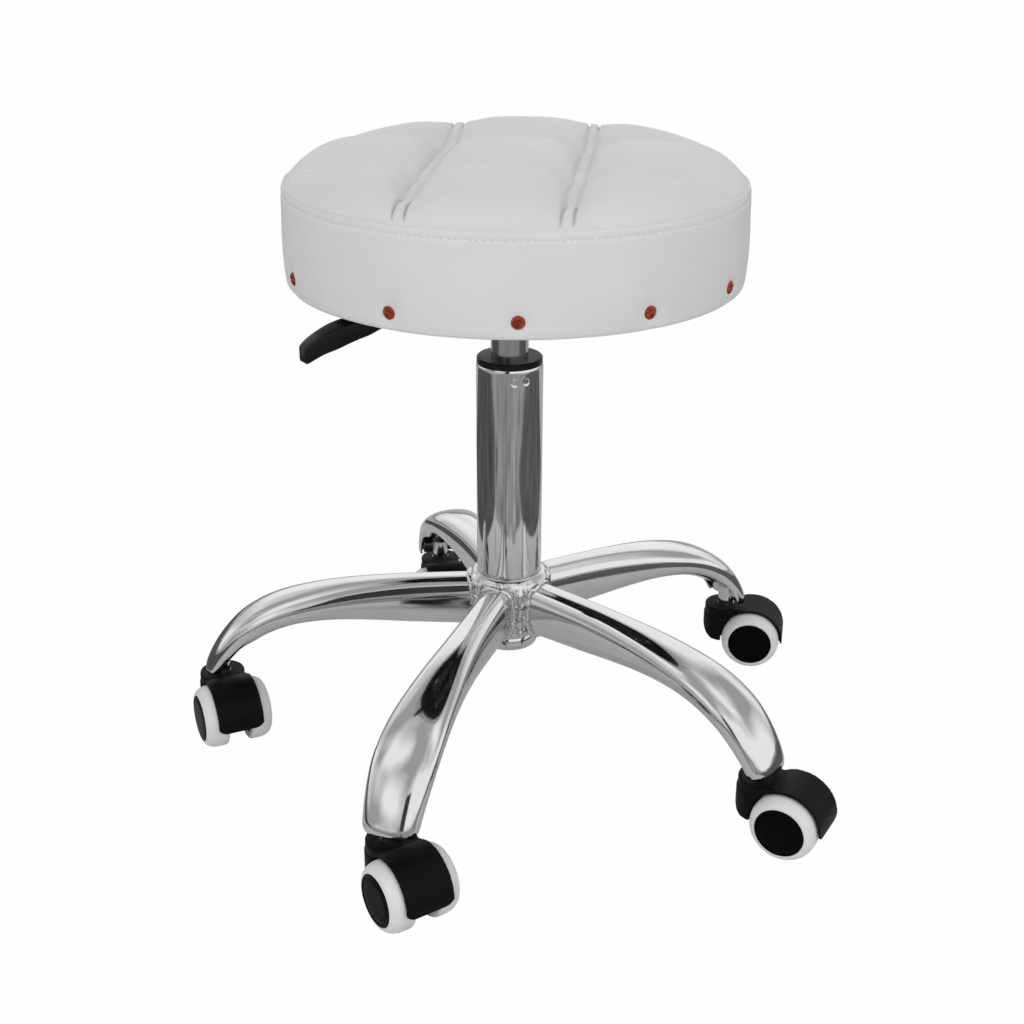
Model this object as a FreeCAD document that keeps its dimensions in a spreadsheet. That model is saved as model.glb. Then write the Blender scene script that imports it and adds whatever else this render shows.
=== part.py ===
import FreeCAD, Part

import math
import os
import types

import Sketcher

# A rolling salon stool: a round tufted seat on a gas lift, a welded five-arm base
# of swaged tube and five twin-wheel casters. Millimetres and degrees throughout.
# The origin is on the floor under the column, +Z is up and -Y is the front.

SIZES = [
    # Column and hub
    ("tube_radius", 25.0, "outer tube, outside"),
    ("tube_wall", 1.5, "outer tube, wall"),
    ("tube_top", 317.0, "outer tube, height of the rim"),
    ("tube_seat_radius", 24.5, "outer tube, outside radius in the hub"),
    ("tube_end", 85.5, "outer tube, height of the lower end"),
    ("tube_end_radius", 22.0, "outer tube, outside radius of the lower end"),
    ("tube_floor", 3.0, "outer tube, thickness of the floor"),
    ("tube_lip", 1.5, "outer tube, lip below the floor"),
    ("hub_top", 148.0, "hub, height of the top"),
    ("hub_bottom", 99.0, "hub, height of the foot"),
    ("hub_radius", 31.0, "hub, widest radius"),
    ("hub_rim", 27.3, "hub, radius of the top ring"),
    ("hub_shoulder", 5.0, "hub, height of the sloped shoulder"),
    ("hub_foot_wall", 1.6, "hub, wall at the foot"),
    ("hub_foot", 9.0, "hub, height of the sloped foot"),
    # Gas lift
    ("cylinder_radius", 14.0, "gas cylinder, outside"),
    ("cylinder_wall", 1.8, "gas cylinder, wall"),
    ("cylinder_bottom", 97.0, "gas cylinder, lower end with the seat down"),
    ("cylinder_top", 369.5, "gas cylinder, upper end with the seat down"),
    ("cylinder_tip", 13.2, "gas cylinder, radius at the top of the taper"),
    ("valve_chamber", 17.5, "gas cylinder, length of the valve chamber"),
    ("valve_chamber_wall", 2.2, "gas cylinder, wall of the valve chamber"),
    ("valve_step", 3.0, "valve body, height of its foot in the chamber"),
    ("cylinder_cap", 2.0, "gas cylinder, thickness of the top"),
    ("cylinder_mouth", 4.0, "gas cylinder, radius of the hole in the top"),
    ("gland_length", 14.0, "cylinder gland, length"),
    ("gland_inset", 1.0, "cylinder gland, depth inside the cylinder's end"),
    ("rod_radius", 5.0, "piston rod, shaft"),
    ("journal_radius", 4.0, "piston rod, journal in the floor"),
    ("clip_groove_radius", 3.3, "piston rod, bottom of the clip groove"),
    ("rod_tail", 1.4, "piston rod, end below the clip groove"),
    ("clip_thickness", 1.2, "rod clip, thickness"),
    ("clip_radius", 8.0, "rod clip, outside"),
    ("clip_mouth", 4.0, "rod clip, width of the opening"),
    ("bearing_height", 3.5, "thrust bearing, height"),
    ("bearing_radius", 11.0, "thrust bearing, outside"),
    ("bumper_radius", 10.5, "bump stop, outside"),
    ("piston_bottom", 236.0, "piston head, height of the lower face"),
    ("piston_length", 9.0, "piston head, length"),
    ("bush_bottom", 250.0, "guide bush, lower end"),
    ("bush_cap", 4.5, "guide bush, height of the cap"),
    ("bush_cap_inset", 0.5, "guide bush, cap inside the tube's radius"),
    ("bush_chamfer", 0.8, "guide bush, chamfer of the cap"),
    ("pin_radius", 2.5, "release pin"),
    ("pin_top", 372.2, "release pin, height of the top"),
    ("pin_chamfer", 0.6, "release pin, chamfer"),
    # Base arms
    ("first_arm_angle", -19.8, "first arm, angle from the front"),
    ("arm_level", 121.5, "arm, height of the centre line at the hub"),
    ("arm_root", 24.0, "arm, radius where the tube starts inside the hub"),
    ("arm_bend_level", 116.5, "arm, height of the centre line where the bend starts"),
    ("arm_bend_radius", 110.0, "arm, radius of the bend"),
    ("arm_bend_angle", 72.0, "arm, angle of the bend before the tip is cut"),
    ("arm_root_height", 42.0, "arm, section height at the hub"),
    ("arm_root_width", 27.0, "arm, section width at the hub"),
    ("arm_tip_height", 23.5, "arm, section height after the swage"),
    ("arm_tip_width", 37.5, "arm, section width after the swage"),
    ("arm_flat", 1.0, "arm, narrowest flat between two rounded corners"),
    ("arm_wall", 1.8, "arm, wall"),
    ("arm_tip_level", 56.0, "arm, height of the tip"),
    ("arm_mouth_lip", 1.5, "arm, lower edge of the mouth outside the stem's middle"),
    ("arm_mouth_depth", 42.0, "arm, run of the open mouth towards the hub"),
    ("arm_mouth_angle", 48.0, "arm, slope of the open mouth"),
    ("arm_roof_gap", 0.5, "arm, roof of the bend outside the socket's closed end"),
    # Caster sockets
    ("stem_circle", 233.5, "caster stems, radius of their circle"),
    ("socket_radius", 7.0, "caster socket, outside"),
    ("socket_bottom", 52.4, "caster socket, lower end"),
    ("socket_top", 66.5, "caster socket, top of the bore"),
    ("socket_dome", 1.7, "caster socket, thickness of the closed end"),
    ("web_thickness", 3.0, "socket web, thickness"),
    ("web_bottom", 58.0, "socket web, lower edge"),
    ("web_knee", 62.0, "socket web, height where it narrows"),
    ("web_top", 66.0, "socket web, upper edge"),
    ("web_half_width", 15.9, "socket web, half width"),
    ("web_top_half", 15.4, "socket web, half width at the top"),
    # Casters
    ("wheel_radius", 25.0, "caster wheel"),
    ("wheel_outer", 28.4, "caster wheel, outer face from the middle"),
    ("wheel_inner", 9.0, "caster wheel, inner face from the middle"),
    ("wheel_shoulder", 24.2, "caster wheel, end of the rolling face"),
    ("cap_radius", 18.4, "wheel core"),
    ("trail", 24.2, "caster, trail of the axle behind the stem"),
    ("axle_radius", 3.0, "axle"),
    ("axle_end_wall", 2.1, "wheel core, wall outside the axle's end"),
    ("hood_web", 8.2, "hood, half thickness of the web"),
    ("fender_radius", 27.8, "hood, fender outside"),
    ("fender_half", 17.5, "hood, half width"),
    ("fender_end", 21.0, "hood, height of the fender's lower end"),
    ("boss_radius", 18.6, "hood, boss"),
    ("boss_top", 50.6, "hood, height of the boss"),
    ("boss_skirt", 33.0, "hood, height where the front starts to curve in"),
    ("boss_tuck", 9.0, "hood, how far the front curves in"),
    ("stem_radius", 5.5, "stem"),
    ("stem_bottom", 33.0, "stem, height of the lower end in the hood"),
    ("flange_radius", 7.5, "stem, flange"),
    ("flange_height", 1.4, "stem, flange thickness"),
    ("stem_top", 66.0, "stem, height of the top"),
    # Seat plate
    ("lever_angle", 215.0, "lever, direction from +X"),
    ("plate_half", 75.0, "seat plate, half its side"),
    ("plate_thickness", 2.5, "seat plate, thickness"),
    ("plate_corner", 12.0, "seat plate, corner radius"),
    ("bolt_half", 60.0, "bolts, half their spacing"),
    ("bolt_radius", 3.0, "bolt, shank"),
    ("bolt_head_radius", 5.0, "bolt, head across the flats, half"),
    ("bolt_head_height", 4.0, "bolt, head"),
    ("bolt_length", 13.0, "bolt, shank above the plate's lower face"),
    ("box_front", 26.0, "lever box, outer end on the lever's side"),
    ("box_back", 24.0, "lever box, outer end on the far side"),
    ("box_half", 20.0, "lever box, half width"),
    ("box_wall", 2.5, "lever box, wall"),
    ("box_bottom", 366.0, "lever box, lower face"),
    ("socket_tube_radius", 18.0, "taper socket, outside"),
    ("socket_tube_bottom", 341.0, "taper socket, lower end"),
    ("slot_half", 5.0, "lever slot, half width"),
    # Lever
    ("pivot_reach", 20.0, "lever, pivot from the column axis"),
    ("pivot_level", 374.5, "lever, height of the pivot"),
    ("pivot_radius", 2.5, "lever, cross pin"),
    ("lever_radius", 3.0, "lever, rod"),
    ("lever_inner", 23.0, "lever, rod inside the pivot"),
    ("lever_outer", 95.0, "lever, rod outside the pivot"),
    ("lever_tilt", 3.5, "lever, downward tilt of the rod"),
    ("grip_width", 9.5, "lever grip, width"),
    ("grip_inner", 90.0, "lever grip, inner end"),
    ("grip_start_top", 374.0, "lever grip, top of the inner end"),
    ("grip_start_height", 9.5, "lever grip, height of the inner end"),
    ("grip_knee", 137.0, "lever grip, start of the downward bend"),
    ("grip_knee_top", 371.5, "lever grip, top at the bend"),
    ("grip_knee_height", 14.0, "lever grip, height at the bend"),
    ("grip_end", 172.0, "lever grip, top of the outer end"),
    ("grip_end_top", 358.0, "lever grip, top of the outer end"),
    ("grip_end_height", 11.0, "lever grip, height of the outer end"),
    ("grip_nose", 2.6, "lever grip, bulge of the outer end"),
    # Seat
    ("seat_offset", 4.0, "seat pad, offset from the column within its holes"),
    ("seat_bottom", 383.0, "seat, underside of the dust cover"),
    ("hem_thickness", 1.0, "cover and dust cover, thickness under the board"),
    ("hem_radius", 140.0, "cover, inner radius of the hem under the board"),
    ("board_radius", 157.0, "board"),
    ("board_thickness", 14.0, "board, thickness"),
    ("band_foot_radius", 161.8, "side band, radius near the bottom edge"),
    ("band_foot", 13.0, "side band, height of the plain foot"),
    ("band_radius", 164.2, "side band, widest radius"),
    ("band_waist", 41.0, "side band, height of the widest place"),
    ("seam_radius", 163.4, "seam between top and side"),
    ("seam_level", 448.9, "seam, height"),
    ("piping_radius", 1.6, "piping, radius of the cord"),
    ("shoulder_radius", 134.0, "top cover, radius where the crown starts"),
    ("shoulder_level", 469.2, "top cover, height where the crown starts"),
    ("shoulder_bulge", 1.2, "top cover, bulge of the shoulder"),
    ("crown_level", 478.5, "top cover, height of the middle"),
    ("channel_pitch", 105.0, "channels, spacing from front to back"),
    ("seam_pitch", 114.0, "cross seams, spacing"),
    ("channel_floor", 462.5, "channels, height of the floor"),
    ("seam_floor", 464.5, "cross seams, height of the floor"),
    ("channel_reach", 26.0, "channels, width of one rounded flank"),
    ("channel_gap", 8.0, "double channels, distance between the stitch rows"),
    ("channel_angle", -6.2, "channels, turn of the pattern"),
    ("channel_shift", -5.3, "channels, sideways shift of the pattern"),
    ("tee_flange", 9.0, "tee nut, flange"),
    ("tee_flange_height", 1.2, "tee nut, flange thickness"),
    ("tee_barrel", 3.9, "tee nut, barrel"),
    ("tee_length", 9.0, "tee nut, length of the barrel"),
    # Clearances
    ("press_gap", 0.05, "pieces pressed or slid into each other for good"),
    ("running_gap", 0.08, "shaft in its bearing, radial"),
    ("piston_gap", 0.1, "piston in its cylinder, radial"),
    ("free_gap", 0.3, "soft and rough pieces beside each other"),
    ("well_gap", 1.2, "wheel in its well"),
]

ARMS = 5
CORNER_FACETS = 3
BEND_STEPS = 6
# Caster headings, the direction of the trail from +X, as the wheels happen to stand.
CASTER_HEADINGS = (-56.0, -30.5, -11.5, -76.0, -64.5)

doc = FreeCAD.newDocument("stool")
nodes = []


class Size:
    """A number with the sheet formula that gives it, so both stay the same."""

    def __init__(self, number, formula):
        self.number = float(number)
        self.formula = formula

    def __add__(self, other):
        other = as_size(other)
        return Size(self.number + other.number, f"({self.formula} + {other.formula})")

    def __radd__(self, other):
        return as_size(other) + self

    def __sub__(self, other):
        other = as_size(other)
        return Size(self.number - other.number, f"({self.formula} - {other.formula})")

    def __rsub__(self, other):
        return as_size(other) - self

    def __mul__(self, other):
        other = as_size(other)
        return Size(self.number * other.number, f"({self.formula} * {other.formula})")

    def __rmul__(self, other):
        return as_size(other) * self

    def __truediv__(self, other):
        other = as_size(other)
        return Size(self.number / other.number, f"({self.formula} / {other.formula})")

    def __neg__(self):
        return Size(-self.number, f"(0 - {self.formula})")


def as_size(value):
    """A plain number becomes a size whose formula is that number."""
    if isinstance(value, Size):
        return value
    return Size(value, f"({float(value)!r})")


def sine(angle):
    angle = as_size(angle)
    return Size(math.sin(math.radians(angle.number)), f"sin({angle.formula} * 1 deg)")


def cosine(angle):
    angle = as_size(angle)
    return Size(math.cos(math.radians(angle.number)), f"cos({angle.formula} * 1 deg)")


def tangent(angle):
    return sine(angle) / cosine(angle)


def square_root(value):
    return Size(math.sqrt(value.number), f"sqrt({value.formula})")


def make_sheet():
    """Writes the driving dimensions and gives them back as named sizes."""
    sheet = doc.addObject("Spreadsheet::Sheet", "Sizes")
    named = {}
    for row, (name, number, meaning) in enumerate(SIZES, start=1):
        sheet.set(f"A{row}", name)
        sheet.set(f"B{row}", str(number))
        sheet.setAlias(f"B{row}", name)
        sheet.set(f"C{row}", meaning)
        named[name] = Size(number, f"Sizes.{name}")
    doc.recompute()
    return types.SimpleNamespace(**named)


def bind(item, path, value):
    """Ties one property of an object to the sheet."""
    item.setExpression(path, as_size(value).formula)


def place(item, x=0.0, y=0.0, z=0.0, turn=0.0):
    """Stands an object at a point, turned about the vertical."""
    item.Placement.Rotation = FreeCAD.Rotation(FreeCAD.Vector(0, 0, 1), 1.0)
    bind(item, "Placement.Base.x", x)
    bind(item, "Placement.Base.y", y)
    bind(item, "Placement.Base.z", z)
    bind(item, "Placement.Rotation.Angle", turn)


def node(item, label):
    """Makes an object one of the stool's sub-parts."""
    item.Label = label
    nodes.append(item)
    return item


def new_body(label):
    return doc.addObject("PartDesign::Body", label)


def new_sketch(body, plane, level=0.0):
    """A sketch on one of the body's own planes, or at a level above it."""
    sketch = body.newObject("Sketcher::SketchObject", "Profile")
    for feature in body.Origin.OriginFeatures:
        if feature.Role == plane:
            sketch.AttachmentSupport = (feature, [""])
    sketch.MapMode = "FlatFace"
    bind(sketch, "AttachmentOffset.Base.z", level)
    return sketch


def pin_point(sketch, geometry, end, x, y):
    """Ties a point of the sketch to its place."""
    for kind, value, axis in (("DistanceX", as_size(x), -2), ("DistanceY", as_size(y), -1)):
        if value.number == 0.0:
            sketch.addConstraint(Sketcher.Constraint("PointOnObject", geometry, end, axis))
        else:
            rule = Sketcher.Constraint(kind, -1, 1, geometry, end, value.number)
            index = sketch.addConstraint(rule)
            bind(sketch, f"Constraints[{index}]", value)


def via(x, y):
    """A point that the arc between its two neighbours runs through."""
    return (x, y, "via")


def dome(x, y):
    """A point of an arc that has its centre on the sketch's vertical axis."""
    return (x, y, "dome")


def outline(sketch, points):
    """A closed outline through the points, straight except where a via makes an arc."""
    corners = [entry for entry in points if len(entry) == 2]
    middles = {}
    for index, entry in enumerate(points):
        if len(entry) == 3:
            before = sum(1 for other in points[:index] if len(other) == 2) - 1
            middles[before] = entry
    spots = [FreeCAD.Vector(as_size(x).number, as_size(y).number, 0) for x, y in corners]
    ends = []
    for index, start in enumerate(spots):
        stop = spots[(index + 1) % len(spots)]
        if index in middles:
            x, y, manner = middles[index]
            middle = FreeCAD.Vector(as_size(x).number, as_size(y).number, 0)
            geometry = sketch.addGeometry(Part.Arc(start, middle, stop), False)
            turns_left = (middle - start).cross(stop - middle).z > 0
            ends.append((geometry, 1, 2) if turns_left else (geometry, 2, 1))
            if manner == "dome":
                sketch.addConstraint(Sketcher.Constraint("PointOnObject", geometry, 3, -2))
            else:
                mark = sketch.addGeometry(Part.Point(middle), True)
                pin_point(sketch, mark, 1, x, y)
                sketch.addConstraint(Sketcher.Constraint("PointOnObject", mark, 1, geometry))
        else:
            geometry = sketch.addGeometry(Part.LineSegment(start, stop), False)
            ends.append((geometry, 1, 2))
    for index, (geometry, first, last) in enumerate(ends):
        following, following_first, _ = ends[(index + 1) % len(ends)]
        rule = Sketcher.Constraint("Coincident", geometry, last, following, following_first)
        sketch.addConstraint(rule)
        x, y = corners[index]
        pin_point(sketch, geometry, first, x, y)


def circle(sketch, x, y, radius):
    """A circle whose centre and radius are tied to the sheet."""
    spot = FreeCAD.Vector(as_size(x).number, as_size(y).number, 0)
    size_now = as_size(radius)
    round_edge = Part.Circle(spot, FreeCAD.Vector(0, 0, 1), size_now.number)
    geometry = sketch.addGeometry(round_edge, False)
    pin_point(sketch, geometry, 3, x, y)
    index = sketch.addConstraint(Sketcher.Constraint("Radius", geometry, size_now.number))
    bind(sketch, f"Constraints[{index}]", size_now)


def rectangle(sketch, left, bottom, right, top):
    outline(sketch, [(left, bottom), (right, bottom), (right, top), (left, top)])


def feature(body, kind, sketch):
    made = body.newObject(kind, kind.split("::")[1])
    made.Profile = sketch
    return made


def pad(body, sketch, length, both_ways=False):
    """Adds the sketch's outline, upwards or evenly to both sides."""
    made = feature(body, "PartDesign::Pad", sketch)
    made.SideType = "Symmetric" if both_ways else "One side"
    bind(made, "Length", length)
    return made


def pocket(body, sketch, length, both_ways=False):
    """Cuts the sketch's outline, upwards or evenly to both sides."""
    made = feature(body, "PartDesign::Pocket", sketch)
    made.SideType = "Symmetric" if both_ways else "One side"
    made.Reversed = not both_ways
    bind(made, "Length", length)
    return made


def revolve(body, sketch, axis="V_Axis", cut=False):
    """Turns the sketch's outline a full turn about one of its axes."""
    kind = "PartDesign::Groove" if cut else "PartDesign::Revolution"
    made = feature(body, kind, sketch)
    made.ReferenceAxis = (sketch, [axis])
    made.Angle = 360.0
    return made


def turned(label, points):
    """A turned piece: an outline of (radius, height) points about the vertical."""
    body = new_body(label)
    sketch = new_sketch(body, "XZ_Plane")
    outline(sketch, points)
    revolve(body, sketch)
    return body


def ring(label, inner, outer, bottom, top):
    """A plain turned ring."""
    return turned(label, [(inner, bottom), (outer, bottom), (outer, top), (inner, top)])


size = make_sheet()

# Heights that several pieces share
floor_bottom = size.tube_end + size.tube_lip
floor_top = floor_bottom + size.tube_floor
bearing_top = floor_top + size.bearing_height
tube_bore = size.tube_radius - size.tube_wall
hub_bore = size.tube_seat_radius + size.press_gap
plate_bottom = size.seat_bottom - size.plate_thickness
board_bottom = size.seat_bottom + size.hem_thickness
board_top = board_bottom + size.board_thickness
cylinder_bore = size.cylinder_radius - size.cylinder_wall
box_floor_top = size.box_bottom + size.box_wall
band_inner = size.board_radius + size.free_gap
top_bottom = size.seam_level - size.piping_radius
chamber_top = size.cylinder_top - size.cylinder_cap
chamber_bottom = chamber_top - size.valve_chamber
chamber_bore = size.cylinder_tip - size.valve_chamber_wall
valve_bottom = chamber_bottom + size.valve_step
axle_half = size.wheel_outer - size.axle_end_wall - size.free_gap

# The arm's mouth and bend stand about the caster stem
arm_mouth_radius = size.stem_circle + size.arm_mouth_lip
arm_mouth_start = arm_mouth_radius - size.arm_mouth_depth
roof_radius = size.arm_bend_radius + size.arm_tip_height / 2 - size.arm_wall
roof_level = size.socket_top + size.socket_dome + size.arm_bend_radius - size.arm_bend_level
arm_bend_start = (size.stem_circle + size.socket_radius + size.arm_roof_gap
                  - square_root(roof_radius * roof_radius - roof_level * roof_level))


def cylinder_outside(height):
    """Outside radius of the gas cylinder's tapered end at a height."""
    narrowing = size.cylinder_radius - size.cylinder_tip
    share = (height - size.socket_tube_bottom) / (size.cylinder_top - size.socket_tube_bottom)
    return size.cylinder_radius - narrowing * share


def make_hub():
    """The hub ring that the arms are welded to, with a sloped shoulder and a foot."""
    foot = hub_bore + size.hub_foot_wall
    return turned("base_hub", [
        (hub_bore, size.hub_bottom),
        (foot, size.hub_bottom),
        (foot, size.hub_bottom + size.hub_foot),
        (size.hub_radius, size.hub_bottom + size.hub_foot),
        (size.hub_radius, size.hub_top - size.hub_shoulder),
        (size.hub_rim, size.hub_top),
        (hub_bore, size.hub_top),
    ])


def make_outer_tube():
    """The column's outer tube, turned down below the hub, with a floor."""
    end_bore = size.tube_end_radius - size.tube_wall
    hole = size.journal_radius + size.running_gap
    return turned("outer_tube", [
        (size.tube_end_radius, size.tube_end),
        (size.tube_end_radius, size.hub_bottom),
        (size.tube_seat_radius, size.hub_bottom),
        (size.tube_seat_radius, size.hub_top),
        (size.tube_radius, size.hub_top),
        (size.tube_radius, size.tube_top),
        (tube_bore, size.tube_top),
        (tube_bore, size.hub_bottom + size.tube_wall),
        (end_bore, size.hub_bottom + size.tube_wall),
        (end_bore, floor_top),
        (hole, floor_top),
        (hole, floor_bottom),
        (end_bore, floor_bottom),
        (end_bore, size.tube_end),
    ])


def make_guide_bush():
    """The plastic bush that guides the gas cylinder, with its black cap."""
    bore = size.cylinder_radius + size.running_gap
    cap = size.tube_radius - size.bush_cap_inset
    cap_top = size.tube_top + size.bush_cap
    return turned("guide_bush", [
        (bore, size.bush_bottom),
        (tube_bore - size.press_gap, size.bush_bottom),
        (tube_bore - size.press_gap, size.tube_top),
        (cap, size.tube_top),
        (cap, cap_top - size.bush_chamfer),
        (cap - size.bush_chamfer, cap_top),
        (bore, cap_top),
    ])


def make_rod_clip():
    """The open spring clip under the floor that keeps the rod in."""
    body = new_body("rod_clip")
    bottom = floor_bottom - size.clip_thickness
    sketch = new_sketch(body, "XY_Plane", bottom)
    circle(sketch, 0, 0, size.clip_radius)
    circle(sketch, 0, 0, size.clip_groove_radius + size.press_gap)
    pad(body, sketch, size.clip_thickness - size.press_gap)
    mouth = new_sketch(body, "XY_Plane", bottom)
    half = size.clip_mouth / 2
    rectangle(mouth, 0, -half, size.clip_radius + size.free_gap, half)
    pocket(body, mouth, size.clip_thickness)
    return body


def make_piston_rod():
    """The rod that stands on the tube's floor and carries the piston head."""
    groove_bottom = floor_bottom - size.clip_thickness
    head_top = size.piston_bottom + size.piston_length
    return turned("piston_rod", [
        (0, groove_bottom - size.rod_tail),
        (size.journal_radius, groove_bottom - size.rod_tail),
        (size.journal_radius, groove_bottom - size.press_gap),
        (size.clip_groove_radius, groove_bottom - size.press_gap),
        (size.clip_groove_radius, floor_bottom),
        (size.journal_radius, floor_bottom),
        (size.journal_radius, bearing_top),
        (size.rod_radius, bearing_top),
        (size.rod_radius, size.piston_bottom),
        (cylinder_bore - size.piston_gap, size.piston_bottom),
        (cylinder_bore - size.piston_gap, head_top),
        (0, head_top),
    ])


def make_gas_cylinder():
    """The sliding cylinder: plain, tapered where the seat sits, with a valve chamber."""
    return turned("gas_cylinder", [
        (cylinder_bore, size.cylinder_bottom),
        (size.cylinder_radius, size.cylinder_bottom),
        (size.cylinder_radius, size.socket_tube_bottom),
        (size.cylinder_tip, size.cylinder_top),
        (size.cylinder_mouth, size.cylinder_top),
        (size.cylinder_mouth, chamber_top),
        (chamber_bore, chamber_top),
        (chamber_bore, chamber_bottom),
        (cylinder_bore, chamber_bottom),
    ])


def make_release_pin():
    """The pin that opens the valve when the lever pushes it down."""
    return turned("release_pin", [
        (0, valve_bottom),
        (size.pin_radius, valve_bottom),
        (size.pin_radius, size.pin_top - size.pin_chamfer),
        (size.pin_radius - size.pin_chamfer, size.pin_top),
        (0, size.pin_top),
    ])


def rounded_section(sketch, half_wide, middle, half_tall, radius):
    """A rounded rectangle about a middle height, drawn as lines and corner arcs."""
    flat = half_wide - radius
    side = half_tall - radius
    slant_x = flat + radius * cosine(45)
    slant_y = side + radius * sine(45)
    outline(sketch, [
        (half_wide, middle - side),
        (half_wide, middle + side),
        via(slant_x, middle + slant_y),
        (flat, middle + half_tall),
        (-flat, middle + half_tall),
        via(-slant_x, middle + slant_y),
        (-half_wide, middle + side),
        (-half_wide, middle - side),
        via(-slant_x, middle - slant_y),
        (-flat, middle - half_tall),
        (flat, middle - half_tall),
        via(slant_x, middle - slant_y),
    ])


def swaged_section(sketch, half_wide, middle, half_tall, radius):
    """The arm's section: four flats with a run of narrow facets round each corner."""
    flat = half_wide - radius
    side = half_tall - radius
    points = []
    for turn, centre_x, centre_y in ((0, flat, side), (90, -flat, side),
                                     (180, -flat, -side), (270, flat, -side)):
        for step in range(CORNER_FACETS + 1):
            angle = turn + 90.0 / CORNER_FACETS * step
            points.append((centre_x + radius * cosine(angle),
                           middle + centre_y + radius * sine(angle)))
    outline(sketch, points)


def root_sketch(body, inset):
    """The arm's tall section at the hub."""
    sketch = new_sketch(body, "YZ_Plane", size.arm_root)
    swaged_section(sketch, size.arm_root_width / 2 - inset, size.arm_level,
                   size.arm_root_height / 2 - inset,
                   (size.arm_root_width - size.arm_flat) / 2 - inset)
    return sketch


def knee_sketch(body, inset):
    """The arm's flat section where the bend starts."""
    sketch = new_sketch(body, "YZ_Plane", arm_bend_start)
    half_tall = size.arm_tip_height / 2 - inset
    swaged_section(sketch, size.arm_tip_width / 2 - inset, size.arm_bend_level, half_tall,
                   half_tall - size.arm_flat / 2)
    return sketch


def bend_path(body):
    """The centre line of the bend, a run of short straights."""
    sketch = new_sketch(body, "XZ_Plane")
    step = size.arm_bend_angle / BEND_STEPS
    reach = size.arm_bend_radius / cosine(step / 2)
    centre_z = size.arm_bend_level - size.arm_bend_radius
    points = [(arm_bend_start, size.arm_bend_level)]
    for index in range(BEND_STEPS):
        angle = step * (index + 0.5)
        points.append((arm_bend_start + reach * sine(angle),
                       centre_z + reach * cosine(angle)))
    points.append((arm_bend_start + size.arm_bend_radius * sine(size.arm_bend_angle),
                   centre_z + size.arm_bend_radius * cosine(size.arm_bend_angle)))
    spots = [FreeCAD.Vector(as_size(x).number, as_size(y).number, 0) for x, y in points]
    previous = None
    for index in range(len(points) - 1):
        line = sketch.addGeometry(Part.LineSegment(spots[index], spots[index + 1]), False)
        pin_point(sketch, line, 2, *points[index + 1])
        if previous is None:
            pin_point(sketch, line, 1, *points[index])
        else:
            sketch.addConstraint(Sketcher.Constraint("Coincident", previous, 2, line, 1))
        previous = line
    return sketch


def swaged_tube(body, inset, cut):
    """The arm's whole run, as material or as bore: a loft and then the bend."""
    kind = "Subtractive" if cut else "Additive"
    knee = knee_sketch(body, inset)
    loft = feature(body, f"PartDesign::{kind}Loft", root_sketch(body, inset))
    loft.Sections = [knee]
    loft.Ruled = True
    pipe = feature(body, f"PartDesign::{kind}Pipe", knee)
    pipe.Spine = bend_path(body)
    pipe.Transition = "Right corner"


def make_arm(index):
    """A swaged arm: tall at the hub, flat and wide in the bend, open at the tip."""
    body = new_body(f"arm_{index + 1}")
    swaged_tube(body, as_size(0), cut=False)
    swaged_tube(body, size.arm_wall, cut=True)

    cope = new_sketch(body, "XZ_Plane")
    foot = hub_bore + size.hub_foot_wall
    outline(cope, [
        (0, 0),
        (foot, 0),
        (foot, size.hub_bottom + size.hub_foot),
        (size.hub_radius, size.hub_bottom + size.hub_foot),
        (size.hub_radius, size.hub_top),
        (0, size.hub_top),
    ])
    revolve(body, cope, cut=True)

    mouth = new_sketch(body, "XZ_Plane")
    depth = arm_mouth_radius - arm_mouth_start
    edge = size.arm_tip_level + depth * tangent(size.arm_mouth_angle)
    back = arm_mouth_start - size.arm_tip_height
    reach = arm_mouth_radius + size.arm_tip_height * 2
    outline(mouth, [
        (arm_mouth_radius, size.arm_tip_level),
        (arm_mouth_start, edge),
        (back, edge - size.arm_tip_height),
        (back, 0),
        (reach, 0),
        (reach, size.arm_tip_level),
    ])
    pocket(body, mouth, size.arm_tip_width * 2, both_ways=True)
    return body


def arm_angle(index):
    """Turn of an arm from +X about the vertical."""
    return size.first_arm_angle + (360.0 / ARMS * index - 90.0)


def make_socket():
    """A closed sleeve for a caster stem, on a web across the inside of its arm."""
    body = new_body("socket")
    web = new_sketch(body, "YZ_Plane", size.stem_circle)
    outline(web, [
        (-size.web_half_width, size.web_bottom),
        (size.web_half_width, size.web_bottom),
        (size.web_half_width, size.web_knee),
        (size.web_top_half, size.web_top),
        (-size.web_top_half, size.web_top),
        (-size.web_half_width, size.web_knee),
    ])
    pad(body, web, size.web_thickness, both_ways=True)
    sleeve = new_sketch(body, "XY_Plane", size.socket_bottom)
    circle(sleeve, size.stem_circle, 0, size.socket_radius)
    pad(body, sleeve, size.socket_top + size.socket_dome - size.socket_bottom)
    bore = new_sketch(body, "XY_Plane", size.socket_bottom)
    circle(bore, size.stem_circle, 0, size.stem_radius + size.running_gap)
    pocket(body, bore, size.socket_top - size.socket_bottom)
    return body


def group(label, pieces):
    """Several like pieces as one node."""
    made = doc.addObject("Part::Compound", label)
    made.Links = pieces
    return node(made, label)


def make_base():
    """The five-arm base with its hub, caster sockets and the column's outer tube."""
    node(make_hub(), "base_hub")
    sockets = []
    for index in range(ARMS):
        arm = node(make_arm(index), f"arm_{index + 1}")
        socket = make_socket()
        place(arm, turn=arm_angle(index))
        place(socket, turn=arm_angle(index))
        sockets.append(socket)
    group("caster_sockets", sockets)
    node(make_outer_tube(), "outer_tube")
    node(make_guide_bush(), "guide_bush")
    node(make_rod_clip(), "rod_clip")


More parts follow.
